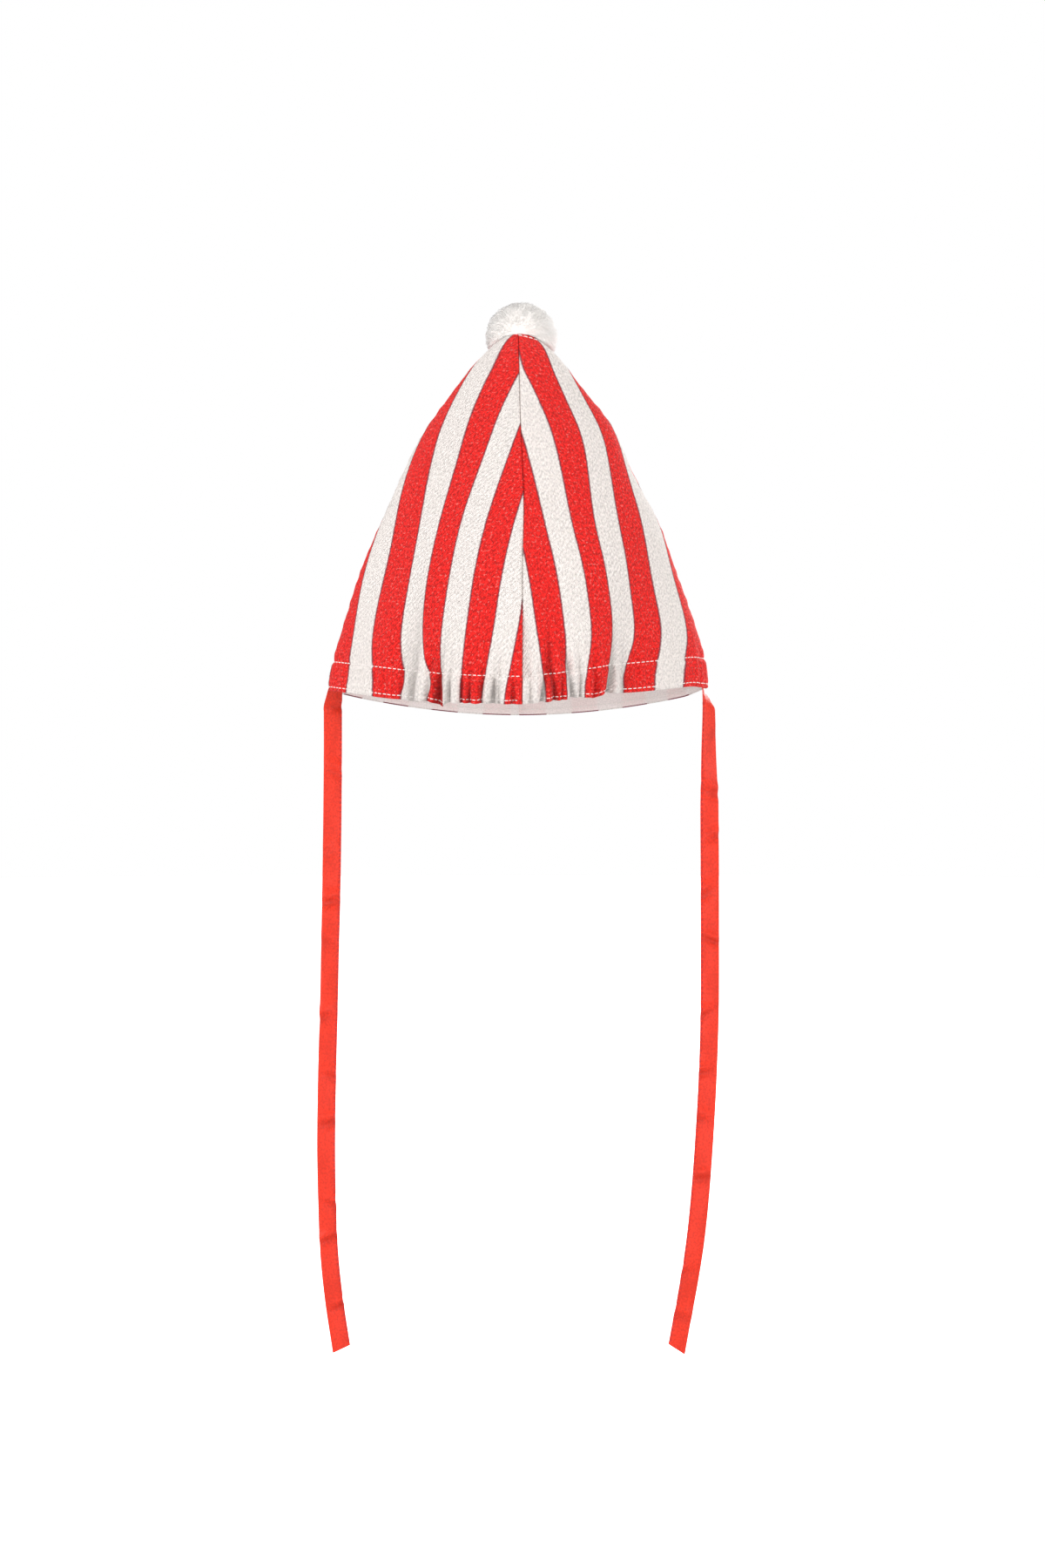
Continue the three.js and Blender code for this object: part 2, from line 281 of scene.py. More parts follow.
class ClothSettings(bpy.types.PropertyGroup):
    """Sizes and colours of the striped crown and its lining."""

    thickness: length("Cloth thickness", "Thickness of the striped cloth", 1.2)
    lining_thickness: length("Lining thickness", "Thickness of the lining cloth", 1.0)
    layer_gap: length("Layer gap", "Room between the striped cloth and its lining", 0.5)
    stripe_width: length("Stripe width", "Width of a stripe on the front panels", 16.5)
    casing_height: length("Casing height", "Height of the casing's upper seam above the hem", 16.5)
    casing_puff: length("Casing puff", "How far the casing swells between its two seams", 0.9)
    edge_height: length("Edge seam height", "Height of the lower seam above the hem", 2.2)
    hem_roll: length("Hem roll", "Radius of the folded edge of the hem", 0.75)
    seam_groove: length("Seam groove", "Depth of the groove along a seam between two panels", 1.2)
    seam_width: length("Seam width", "Half the width of the groove along a seam", 0.45)
    softness: length("Softness", "Height of the slow waves in the cloth", 0.7)
    pucker: length("Pucker", "Height of the small ripples beside a line of stitches", 0.3)
    fold_shade: fraction("Fold shade", "How dark the cloth is deep in a fold", 0.6)
    red: colour("Red", "Red of the stripes", (0.87, 0.011, 0.008))
    white: colour("White", "White of the stripes", (0.86, 0.798, 0.762))
    # Light flecks: partly the yarn's own lighter colour, partly painted highlight on the weave.
    fleck_and_highlight: colour("Flecks", "Light flecks in the red", (0.95, 0.22, 0.195))
    # The border colour also paints shade on the inner face of the red stripes.
    border_and_underside_shade: colour("Border", "Dark line along the edge of a stripe", (0.18, 0.012, 0.03))
    lining: colour("Lining", "White of the lining", (0.93, 0.88, 0.86))
    shown_red: colour("Shown red", "Red of the stripes that show through the lining", (0.85, 0.25, 0.24))


class StitchSettings(bpy.types.PropertyGroup):
    """Sizes and colour of the stitches."""

    stitch: length("Stitch length", "Length of one stitch", 2.5)
    gap: length("Stitch gap", "Room between two stitches", 0.55)
    thread: length("Thread", "Diameter of the thread", 0.55)
    white: colour("White thread", "Colour of the thread in the hem", (0.88, 0.83, 0.8))
    red: colour("Red thread", "Colour of the thread in the ribbons", (0.5, 0.012, 0.012))


class TieSettings(bpy.types.PropertyGroup):
    """Sizes and colour of the ribbon ties."""

    width: length("Ribbon width", "Width of the folded ribbon", 10.5)
    thickness: length("Ribbon thickness", "Thickness of the folded ribbon", 0.9)
    wrinkle_pitch: length("Wrinkle pitch", "Room between two wrinkles across the ribbon", 34.0)
    wrinkle_depth: length("Wrinkle depth", "Depth of a wrinkle", 1.9)
    wrinkle_shade: fraction("Wrinkle shade", "How dark the ribbon is in a wrinkle", 0.4)
    edge_seam: length("Edge seam", "Room between the row of stitches and the ribbon's edge", 1.1)
    red: colour("Ribbon red", "Colour of the satin", (0.75, 0.033, 0.0125))


class PompomSettings(bpy.types.PropertyGroup):
    """Sizes and colour of the yarn pompom."""

    strands: IntProperty(name="Strands", description="Number of loose yarn ends", default=10500, min=100)
    strand_radius: length("Strand radius", "Radius of a loose yarn end", 0.12)
    lumps: length("Lumps", "Height of the soft lumps of the ball", 0.2)
    combing: length("Combing", "Height of the combed ridges of the ball", 0.18)
    fuzz: length("Fuzz", "How far loose yarn ends stand off the ball", 1.2)
    yarn: colour("Yarn", "White of the yarn", (0.94, 0.88, 0.845))


class StageSettings(bpy.types.PropertyGroup):
    """Camera, floor and lights."""

    camera_distance: length("Camera distance", "How far the camera is from the side seams' plane", 1250.0)
    camera_height: length("Camera height", "The camera's height above the rim", -53.5)
    camera_side: length("Camera side", "How far the camera is to the right of the crown's middle", 2.0)
    lens: FloatProperty(name="Lens", description="Focal length in millimetres", default=50.0)
    floor_drop: length("Floor drop", "Room between the ribbon ends and the floor", 60.0)
    floor: colour("Floor", "Colour of the floor", (0.9, 0.9, 0.9))
    ambient: FloatProperty(name="Ambient", description="Strength of light from all round", default=0.53)
    key: watts("Key light", "Power of the main light", 27.0)
    fill: watts("Fill light", "Power of the weaker light", 20.5)
    low: watts("Low light", "Power of the light that looks under the hem", 4.6)
    rear: watts("Rear light", "Power of the light on the far side", 34.0)
    top: watts("Top light", "Power of the light from above", 19.0)


SETTINGS = {
    "hat_cloth": ClothSettings,
    "hat_stitch": StitchSettings,
    "hat_tie": TieSettings,
    "hat_pompom": PompomSettings,
    "hat_stage": StageSettings,
}


# Number helpers

def smooth_step(low, high, value):
    """Rises from 0 at low to 1 at high, level at both ends."""
    part = np.clip((value - low) / (high - low), 0.0, 1.0)
    return part * part * (3.0 - 2.0 * part)


def bell(value, half_width):
    """A bell curve of height 1."""
    return np.exp(-(value / half_width) ** 2)


def crease(value, half_width):
    """A fold of height 1 with a tight bend at its middle."""
    bend = CREASE_BEND * half_width
    return np.exp(-(np.sqrt(value ** 2 + bend ** 2) - bend) / (CREASE_OPENING * half_width))


def ripple(first, second, wavelength, seed):
    """Uneven soft waves over two coordinates, about one high, the same each run."""
    draw = np.random.default_rng(seed)
    turns = draw.uniform(0, math.pi, WAVES)
    phases = draw.uniform(0, math.tau, WAVES)
    stretches = draw.uniform(*WAVE_STRETCH, WAVES)
    total = np.zeros(np.broadcast(first, second).shape)
    for turn, phase, stretch in zip(turns, phases, stretches):
        way = first * math.cos(turn) + second * math.sin(turn)
        total = total + np.sin(math.tau * way / (wavelength * stretch) + phase)
    return total / math.sqrt(WAVES)


def unit(vectors):
    """Vectors at length one."""
    never_zero = 1e-12
    return vectors / np.maximum(np.linalg.norm(vectors, axis=-1, keepdims=True), never_zero)


def joined(*parts):
    """Points from their three coordinates, over the rows and columns of all three."""
    return np.stack(np.broadcast_arrays(*parts), axis=-1)


def along(points):
    """Distance along a line of points from its first point, on the second last axis."""
    steps = np.linalg.norm(np.diff(points, axis=-2), axis=-1)
    return np.concatenate((np.zeros(steps.shape[:-1] + (1,)), np.cumsum(steps, axis=-1)), axis=-1)


def follow(distances, run, values):
    """Values at the given distances along a line, from the run and the values at its points."""
    return np.stack([np.interp(distances, run, column) for column in values.T], axis=-1)


def resample(points, distances):
    """Points at the given distances along a line of points."""
    return follow(distances, along(points), points)


def smooth_stretch(before, start, end, after, part):
    """The value at a part of the way from start to end, on a smooth curve through four values."""
    return 0.5 * (2 * start + part * ((end - before) + part * (
        (2 * before - 5 * start + 4 * end - after) + part * (3 * start - before - 3 * end + after))))


def smooth_line(points, steps):
    """A smooth curve through the points, with a number of steps for each stretch."""
    padded = np.concatenate((2 * points[:1] - points[1:2], points, 2 * points[-1:] - points[-2:-1]))
    part = np.linspace(0, 1, steps, endpoint=False)[:, None]
    corners = zip(padded, padded[1:], padded[2:], padded[3:])
    return np.concatenate([smooth_stretch(*four, part) for four in corners] + [points[-1:]])


# The crown's surface

def section_value(column, level):
    """One column of the sections at any level, on a smooth curve through the rows."""
    row = np.clip(np.floor(level).astype(int), 0, TOP_LEVEL - 1)
    four = (SECTIONS[np.clip(row + step, 0, TOP_LEVEL), column] for step in (-1, 0, 1, 2))
    return smooth_stretch(*four, level - row)


def crown_point(angle, level):
    """A point of the smooth crown, at an angle anticlockwise from the right side seam."""
    sine = np.sin(angle)
    in_front = sine > 0
    reach = np.where(in_front, section_value(FRONT, level), section_value(BACK, level))
    lens = section_value(LENS, level)
    height = section_value(HEIGHT, level)
    dip = np.where(in_front, FRONT_DIP, BACK_DIP) * sine ** 2 * bell(height, DIP_REACH)
    across = section_value(HALF_WIDTH, level) * np.cos(angle)
    return np.stack((across, reach * sine * (1 - lens + lens * np.abs(sine)), height - dip), axis=-1)


def crown_normal(angle, level):
    """The outward direction of the smooth crown."""
    turn = 1e-4
    rise = 1e-3
    across = crown_point(angle + turn, level) - crown_point(angle - turn, level)
    up = crown_point(angle, level + rise) - crown_point(angle, level - rise)
    return unit(np.cross(across, up))


# Levels and their heights, to find the level of a height, and the number of angles tried along a hem.
LEVEL_SAMPLES = 2001
LEVEL_STEPS = np.linspace(0, TOP_LEVEL, LEVEL_SAMPLES)
HEIGHT_STEPS = section_value(HEIGHT, LEVEL_STEPS)
ANGLE_SAMPLES = 400


def level_at(height):
    """The level at a height above the rim."""
    return np.interp(height, HEIGHT_STEPS, LEVEL_STEPS)


def gore_angles(gore, distances):
    """Angles of the places at the given distances along a panel's hem, from its first seam."""
    quarter = GORES.index(gore)
    angles = np.linspace(quarter, quarter + 1, ANGLE_SAMPLES) * math.pi / 2
    run = along(crown_point(angles, np.zeros_like(angles)))
    return np.interp(np.asarray(distances) * run[-1], run, angles)


def gather(across, height):
    """How far the folds of the gathered back hem go in and lift the hem, and their painted shade, at x and
    height.
    """
    flat_across = across * SECTIONS[0, HALF_WIDTH] / section_value(HALF_WIDTH, level_at(height))
    depth = np.zeros(across.shape)
    lift = np.zeros(across.shape)
    dark = np.zeros(across.shape)
    for place, deep, half_width, reach, lean, lifted in GATHERS:
        fold = crease(flat_across - place * MM - lean * height, GATHER_SPREAD * half_width * MM)
        drawn_in = GATHER_SHARE * deep * MM * fold * bell(height, reach * MM)
        depth = depth + drawn_in
        # Painted shade: darkest in the narrow middle of a deep fold.
        dark = dark + drawn_in * fold
        lift = lift + lifted * MM * fold * bell(height, GATHER_LIFT_REACH)
    places = GATHERS[:, 0] * MM
    part = np.interp(flat_across, places, np.arange(len(places)))
    gap = np.diff(places)[np.clip(part.astype(int), 0, len(places) - 2)]
    part = part % 1.0
    puff = GATHER_PUFF * gap * 4 * part * (1 - part) * bell(height, GATHER_PUFF_REACH)
    shade = np.clip(dark / FOLD_SHADE_DEPTH, 0.0, 1.0)
    return depth - puff, lift, shade


def hem_lift(across, height, behind):
    """How far the hem is drawn up at x, dying away with height."""
    at_side = smooth_step(*SIDE_SPAN, across)
    if behind:
        lift = RIGHT_LIFT * smooth_step(*RIGHT_LIFT_SPAN, across) * (1 - SIDE_LIFT_SHARE * at_side)
        lift = lift - LEFT_SAG * bell(across - LEFT_SAG_PLACE[0], LEFT_SAG_PLACE[1])
    else:
        lift = SIDE_LIFT_SHARE * RIGHT_LIFT * at_side
    return lift * bell(height, LIFT_REACH)


def groove(depth_and_width, distance):
    """Depth of a groove at a distance from its middle."""
    depth, half_width = depth_and_width
    return depth * bell(distance, half_width)


def relief(cloth, gore, across, middle, half_run, height):
    """How far the cloth stands out from the smooth crown, at x, distance from the middle and height."""
    behind = gore.startswith("back")
    total = cloth.softness * ripple(middle, height, SOFT_WAVE, SOFT_SEED + GORES.index(gore))
    for place, high, depth, half_width, half_height, side in DENTS:
        if side == (ON_BACK if behind else ON_FRONT):
            dent = depth * MM * bell(across - place * MM, half_width * MM)
            total = total - dent * bell(height - high * MM, half_height * MM)
    gathered = bell(across, GATHERED_SPAN) if behind else 0.0 * across
    over = height - cloth.casing_height
    in_casing = smooth_step(0, CASING_START, height) * smooth_step(0, CASING_START, -over)
    above = bell(over, ABOVE_REACH) * smooth_step(-ABOVE_START, ABOVE_START, over)
    strength = cloth.pucker * (1 + GATHERED_PUCKER * gathered)
    total = total + cloth.casing_puff * (PLAIN_PUFF + gathered) * in_casing
    for where, (wavelength, slant, seed) in ((in_casing, CASING_RIPPLE), (above, ABOVE_RIPPLE)):
        total = total + strength * where * ripple(middle, slant * height, wavelength, seed)
    total = total - groove(CASING_GROOVE, over) - groove(EDGE_GROOVE, height - cloth.edge_height)
    seam = half_run - np.abs(middle)
    sewn = np.maximum(1 - seam / cloth.seam_width, 0.0)
    drawn_in = cloth.seam_groove * sewn + groove(SEAM_SHOULDER, seam)
    by_seam = bell(seam - SEAM_PUCKER_PLACE, SEAM_PUCKER_PLACE)
    puckers = ripple(height, 0 * seam, SEAM_PUCKER_WAVE, SEAM_PUCKER_SEED)
    total = total + SEAM_PUCKER * cloth.pucker * by_seam * puckers
    return total * smooth_step(*RELIEF_END, height) - drawn_in


def stripe_place(cloth, gore, middle, height):
    """Number of stripe borders passed on the way across a panel: red where its whole part is even."""
    if gore in FRONT_BORDER:
        return (middle - FRONT_BORDER[gore] * MM) / cloth.stripe_width
    edge, hem, body, top, tip = np.array(STRIPE_BORDERS[gore]).T * MM
    numbers = np.arange(len(hem))
    place = np.empty_like(middle)
    for row, high in enumerate(height[:, 0]):
        drawn_in = bell(max(high - BORDER_HEM, 0.0), BORDER_REACH)
        borders = body + (hem - body) * drawn_in + (top - body) * smooth_step(*BORDER_TOP, high)
        borders = borders + (tip - borders) * smooth_step(*BORDER_TIP, high)
        borders = borders + (edge - hem) * bell(high, BORDER_EDGE)
        inside = np.interp(middle[row], borders, numbers)
        before = np.minimum(middle[row] - borders[0], 0.0)
        after = np.maximum(middle[row] - borders[-1], 0.0)
        place[row] = inside + (before + after) / cloth.stripe_width
    return place


def drift_share(gore, places):
    """How much a place across a panel follows the wandering centre back seam."""
    if gore == "back_left":
        return places ** DRIFT_POWER
    if gore == "back_right":
        return (1 - places) ** DRIFT_POWER
    return 0.0 * places


def gore_surface(cloth, gore, levels, places):
    """A grid on one panel: points of the cloth's outer face, outward directions and values there."""
    angle, level = np.meshgrid(gore_angles(gore, places), levels)
    even = crown_point(angle, level)
    height = section_value(HEIGHT, level)
    run = along(even)
    half_run = run[:, -1:] / 2
    middle = run - half_run
    drift = np.interp(height, *SEAM_DRIFT.T) * drift_share(gore, places)
    angle = angle + drift * np.gradient(angle, axis=1) / np.gradient(run, axis=1)
    smooth = crown_point(angle, level)
    normal = crown_normal(angle, level)
    stand = relief(cloth, gore, smooth[..., 0], middle, half_run, height)
    behind = gore.startswith("back")
    rise = hem_lift(smooth[..., 0], height, behind)
    # Painted shade deep in the gathered folds; the front panels get none.
    fold = np.zeros(height.shape)
    if behind:
        depth, lift, fold = gather(smooth[..., 0], height)
        stand = stand - depth
        at_casing = bell(height - cloth.casing_height, CASING_SAG_REACH)
        rise = rise + lift - CASING_SAG * bell(smooth[..., 0], CASING_SAG_SPAN) * at_casing
    return {
        "points": smooth + normal * stand[..., None] + rise[..., None] * UP,
        "normals": normal,
        "middle": middle,
        "height": height,
        "stripe": stripe_place(cloth, gore, middle + drift, height),
        "fold": fold,
    }


def spaced(total, step, fine):
    """Shares from 0 to 1 of a run, about a step apart, with extra places close to both ends."""
    ends = np.array(fine) / total
    inner = np.linspace(ends[-1], 1 - ends[-1], max(2, round((1 - 2 * ends[-1]) * total / step)))
    return np.concatenate((ends[:-1], inner, 1 - ends[-2::-1]))


# Meshes

def grid_faces(rows, columns):
    """Four-cornered faces of a grid, facing out where rows go up and columns go anticlockwise."""
    corner = (np.arange(rows - 1)[:, None] * columns + np.arange(columns - 1)).ravel()
    return np.stack((corner, corner + 1, corner + columns + 1, corner + columns), axis=-1)


def shell_faces(rows, columns):
    """Faces of a closed shell: an outer grid, an inner grid and a rim of faces that joins them."""
    size = rows * columns
    outer = grid_faces(rows, columns)
    inner = grid_faces(rows, columns)[:, ::-1] + size
    bottom = np.arange(columns)
    right = np.arange(rows) * columns + columns - 1
    top = size - 1 - np.arange(columns)
    left = (rows - 1 - np.arange(rows)) * columns
    rim = np.concatenate((bottom, right[1:], top[1:], left[1:-1]))
    after = np.roll(rim, -1)
    walls = np.stack((after, rim, rim + size, after + size), axis=-1)
    return np.concatenate((outer, inner, walls))


def add_object(name, data):
    """An object for a mesh, a camera or a light, in the scene."""
    made = bpy.data.objects.new(name, data)
    bpy.context.scene.collection.objects.link(made)
    return made


def make_mesh(name, points, faces, finish, cloth_map=None, values=None, sharp=35.0):
    """A smooth mesh object with one finish, a cloth map in metres and named values for each point."""
    mesh = bpy.data.meshes.new(name)
    corner_lists = [list(map(int, face)) for face in faces]
    mesh.from_pydata(np.asarray(points).reshape(-1, 3).tolist(), [], corner_lists)
    mesh.materials.append(finish)
    mesh.polygons.foreach_set("use_smooth", np.ones(len(mesh.polygons), bool))
    mesh.set_sharp_from_angle(angle=math.radians(sharp))
    if cloth_map is not None:
        corners = np.empty(len(mesh.loops), np.int32)
        mesh.loops.foreach_get("vertex_index", corners)
        layer = mesh.uv_layers.new(name="cloth")
        layer.data.foreach_set("uv", np.asarray(cloth_map, np.float32).reshape(-1, 2)[corners].ravel())
    for key, value in (values or {}).items():
        attribute = mesh.attributes.new(key, "FLOAT", "POINT")
        attribute.data.foreach_set("value", np.asarray(value, np.float32).ravel())
    mesh.validate()
    return add_object(name, mesh)


def dress(piece, node=None):
    """Puts a piece on the hat's body and hides the solid that it stands for."""
    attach(piece, BODY)
    if node:
        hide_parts(node)
    return piece


# Rings of one stitch: share of its length, height over the cloth and radius, in thread radii.
STITCH_RINGS = np.array((
    (0.0, -1.1, 0.55),
    (0.14, 0.15, 0.95),
    (0.5, 0.45, 1.0),
    (0.86, 0.15, 0.95),
    (1.0, -1.1, 0.55),
))
STITCH_SIDES = 6

# How far either way the line's direction is measured, and the bare end of a row at a seam.
STITCH_AHEAD = 0.2 * MM
SEAM_SKIP = 1.0 * MM


def stitch_row(stitch, line, normals, skip=0.0):
    """Points and faces of a row of stitches along a line on the cloth."""
    run = along(line)
    pitch = stitch.stitch + stitch.gap
    starts = np.arange(skip, run[-1] - skip - stitch.stitch, pitch)
    distances = starts[:, None] + STITCH_RINGS[:, 0] * stitch.stitch
    flat = distances.ravel()
    centre = resample(line, flat)
    out = unit(follow(flat, run, normals))
    ahead = unit(resample(line, flat + STITCH_AHEAD) - resample(line, flat - STITCH_AHEAD))
    side = unit(np.cross(out, ahead))
    lift, size = np.tile(STITCH_RINGS[:, 1:].T, len(starts)) * (stitch.thread / 2)
    points = tube_points(centre + out * lift[:, None], side, out, size, STITCH_SIDES)
    return points.reshape(-1, 3), tube_faces(len(starts), len(STITCH_RINGS), STITCH_SIDES)


def tube_points(line, side, up, size, sides):
    """Rings of points round the points of lines, each ring with its size."""
    turn = np.arange(sides)[:, None] * math.tau / sides
    ring = np.cos(turn) * side[..., None, :] + np.sin(turn) * up[..., None, :]
    return line[..., None, :] + ring * size[..., None, None]


def tube_faces(count, rings, sides):
    """Faces of a number of closed tubes, each of some rings with some sides."""
    here = np.arange(sides)
    following = (here + 1) % sides
    walls = []
    for low in range(0, (rings - 1) * sides, sides):
        high = low + sides
        walls.append(np.stack((low + here, low + following, high + following, high + here), axis=-1))
    wall = np.concatenate(walls)
    first = here[::-1]
    last = (rings - 1) * sides + here
    faces = []
    for number in range(count):
        base = number * rings * sides
        faces.extend((wall + base).tolist())
        faces.append((first + base).tolist())
        faces.append((last + base).tolist())
    return faces


def moved_on(faces, count):
    """Faces whose corners come after a number of other points."""
    return [[corner + count for corner in face] for face in faces]


def sew(name, rows, finish):
    """One joined piece of several rows of stitches."""
    points = []
    faces = []
    count = 0
    for row_points, row_faces in rows:
        points.append(row_points)
        faces.extend(moved_on(row_faces, count))
        count += len(row_points)
    return make_mesh(name, np.concatenate(points), faces, finish, sharp=80.0)


# Finishes

# Sockets of a node that mixes two colours.
MIX_SHARE, MIX_FIRST, MIX_SECOND = 0, 6, 7
MIX_RESULT = 2


class Finish:
    """A node material for one cloth, ribbon, thread or yarn."""

    def __init__(self, name):
        self.material = bpy.data.materials.new(name)
        self.material.use_nodes = True
        self.tree = self.material.node_tree
        self.tree.nodes.clear()
        self.shader = self.node("ShaderNodeBsdfPrincipled")
        output = self.node("ShaderNodeOutputMaterial")
        self.tree.links.new(self.shader.outputs["BSDF"], output.inputs["Surface"])

    def node(self, kind, **options):
        """Adds a node of a kind with its options."""
        node = self.tree.nodes.new(kind)
        for key, value in options.items():
            setattr(node, key, value)
        return node

    def feed(self, socket, value):
        """Links a socket to another node's value, or sets a fixed value on it."""
        if isinstance(value, bpy.types.NodeSocket):
            self.tree.links.new(value, socket)
        elif hasattr(value, "__len__") and len(socket.default_value) == 4:
            socket.default_value = (*value, 1.0)
        else:
            socket.default_value = value

    def set(self, **values):
        """Sets the shader's own sockets by name, with _ for a space."""
        for key, value in values.items():
            self.feed(self.shader.inputs[key.replace("_", " ")], value)

    def math(self, operation, *values):
        """The result of one operation on values."""
        node = self.node("ShaderNodeMath", operation=operation)
        for socket, value in zip(node.inputs, values):
            self.feed(socket, value)
        return node.outputs[0]

    def sum(self, *weighted):
        """Weighted sum of pairs of a value and its weight."""
        total = self.math("MULTIPLY", *weighted[0])
        for value, weight in weighted[1:]:
            total = self.math("MULTIPLY_ADD", value, weight, total)
        return total

    def ramp(self, value, low, high, start=0.0, end=1.0):
        """Goes smoothly from start to end while a value goes from low to high."""
        node = self.node("ShaderNodeMapRange", interpolation_type="SMOOTHSTEP")
        for socket, number in zip(node.inputs, (value, low, high, start, end)):
            self.feed(socket, number)
        return node.outputs[0]

    def mix(self, share, first, second):
        """The first colour with a share of the second."""
        node = self.node("ShaderNodeMix", data_type="RGBA")
        for number, value in ((MIX_SHARE, share), (MIX_FIRST, first), (MIX_SECOND, second)):
            self.feed(node.inputs[number], value)
        return node.outputs[MIX_RESULT]

    def tones(self, value, span, rgb, shades):
        """A colour that goes from a darker to a lighter shade over a span of a value."""
        dark, light = (scaled(rgb, shade) for shade in shades)
        return self.mix(self.ramp(value, *span), dark, light)

    def tint(self, base, value, span, most, rgb):
        """A base that takes on up to a share of another colour over a span of a value."""
        return self.mix(self.ramp(value, *span, 0.0, most), base, rgb)

    def cloth_map(self, across=1.0, up=1.0):
        """Cloth coordinates in metres, stretched by a factor each way."""
        node = self.node("ShaderNodeMapping")
        self.feed(node.inputs["Vector"], self.node("ShaderNodeUVMap", uv_map="cloth").outputs[0])
        node.inputs["Scale"].default_value = (across, up, 1.0)
        return node.outputs[0]

    def place(self):
        """The point's place on the piece, in metres."""
        return self.node("ShaderNodeTexCoord").outputs["Object"]

    def noise(self, where, size, detail=2.0):
        """Uneven spots of about a size in metres."""
        node = self.node("ShaderNodeTexNoise")
        self.feed(node.inputs["Vector"], where)
        node.inputs["Scale"].default_value = 1.0 / size
        node.inputs["Detail"].default_value = detail
        return node.outputs[0]

    def value(self, name):
        """A named value of the mesh's points."""
        return self.node("ShaderNodeAttribute", attribute_name=name).outputs["Fac"]

    def wave(self, value, pitch):
        """A sine wave along a coordinate in metres, with a pitch in metres."""
        return self.math("SINE", self.math("MULTIPLY", value, math.tau / pitch))

    def bump(self, height, depth, strength):
        """Gives the surface a fine relief of a depth in metres."""
        node = self.node("ShaderNodeBump")
        self.feed(node.inputs["Height"], height)
        node.inputs["Distance"].default_value = depth
        node.inputs["Strength"].default_value = strength
        self.feed(self.shader.inputs["Normal"], node.outputs[0])

    def weave(self, pitch, slub):
        """Height of an uneven crepe weave: crossing yarns, thick places and a faint slant."""
        split = self.node("ShaderNodeSeparateXYZ")
        self.feed(split.inputs[0], self.cloth_map())
        across, up = split.outputs[0], split.outputs[1]
        wander = self.noise(self.cloth_map(), size=6 * slub)
        across = self.math("MULTIPLY_ADD", wander, pitch, across)
        crossing = self.math("MULTIPLY", self.wave(across, pitch), self.wave(up, pitch=1.1 * pitch))
        slant = self.wave(self.math("MULTIPLY_ADD", up, -0.8, across), pitch=1.5 * pitch)
        thick = self.noise(self.cloth_map(up=0.55), slub)
        fine = self.noise(self.cloth_map(), size=0.45 * slub, detail=3.0)
        return self.sum((crossing, 0.22), (slant, 0.25), (thick, 1.0), (fine, 0.9))


def scaled(rgb, factor):
    """A colour made lighter or darker."""
    return tuple(min(1.0, part * factor) for part in rgb)


def striped_cloth(cloth):
    """Crepe cloth printed in red and white stripes, with painted shade in folds and under the turned hem.
    """
    finish = Finish("striped_cloth")
    ragged = finish.math("SUBTRACT", finish.noise(finish.cloth_map(), size=1.3 * MM), 0.5)
    stripe = finish.math("MULTIPLY_ADD", ragged, 0.05, finish.value("stripe"))
    swing = finish.math("SINE", finish.math("MULTIPLY", stripe, math.pi))
    red_share = finish.ramp(swing, low=-0.05, high=0.05)
    border_and_underside_shade = finish.ramp(finish.math("ABSOLUTE", swing), low=0.04, high=0.14, start=0.8, end=0.0)
    # The inner face of the red stripes takes the dark border colour all over: painted shade under the
    # turned hem.
    underside_painted_shade = finish.math("MULTIPLY", finish.value("inside"), red_share)
    border_and_underside_shade = finish.math("MAXIMUM", border_and_underside_shade, underside_painted_shade)
    speck = finish.noise(finish.cloth_map(up=0.7), size=1.1 * MM, detail=3.0)
    # Light flecks: partly lighter yarn, partly painted highlight where the weave's yarns cross.
    fleck_and_highlight = finish.noise(finish.cloth_map(across=0.8), size=1.2 * MM)
    cloud = finish.noise(finish.place(), size=45 * MM)
    red = finish.tones(speck, span=(0.34, 0.64), rgb=cloth.red, shades=(0.55, 1.2))
    red = finish.tint(red, fleck_and_highlight, span=(0.57, 0.72), most=0.75, rgb=cloth.fleck_and_highlight)
    red = finish.tint(red, cloud, span=(0.3, 0.7), most=0.15, rgb=scaled(cloth.red, 0.8))
    white = finish.tones(speck, span=(0.3, 0.66), rgb=cloth.white, shades=(0.76, 1.1))
    white = finish.tint(white, cloud, span=(0.3, 0.7), most=0.2, rgb=scaled(cloth.white, 0.93))
    printed = finish.mix(border_and_underside_shade, finish.mix(red_share, white, red), cloth.border_and_underside_shade)
    # Painted shade: deep in a fold the white is darkened towards grey and the red towards deep red.
    painted_shade_in_fold = finish.math("MULTIPLY", finish.value("fold"), cloth.fold_shade)
    folded = finish.mix(red_share, scaled(cloth.white, 0.42), scaled(cloth.red, 0.16))
    finish.set(Base_Color=finish.mix(painted_shade_in_fold, printed, folded), Sheen_Weight=0.05, Sheen_Roughness=0.5)
    finish.set(Roughness=finish.ramp(speck, 0.2, 0.8, start=0.92, end=0.74), Specular_IOR_Level=0.25)
    finish.bump(finish.weave(pitch=1.0 * MM, slub=1.1 * MM), depth=0.8 * MM, strength=0.8)
    return finish.material


def lining_cloth(cloth):
    """White lining through which the red stripes show faintly."""
    finish = Finish("lining_cloth")
    swing = finish.math("SINE", finish.math("MULTIPLY", finish.value("stripe"), math.pi))
    shown = finish.ramp(swing, low=-0.35, high=0.35, start=0.03, end=0.13)
    speck = finish.noise(finish.cloth_map(), size=0.9 * MM, detail=3.0)
    white = finish.tones(speck, span=(0.25, 0.75), rgb=cloth.lining, shades=(0.86, 1.06))
    finish.set(Base_Color=finish.mix(shown, white, cloth.shown_red), Sheen_Weight=0.12)
    finish.set(Roughness=finish.ramp(speck, 0.2, 0.8, start=0.95, end=0.8), Specular_IOR_Level=0.2)
    finish.bump(finish.weave(pitch=0.8 * MM, slub=1.0 * MM), depth=0.35 * MM, strength=0.5)
    return finish.material


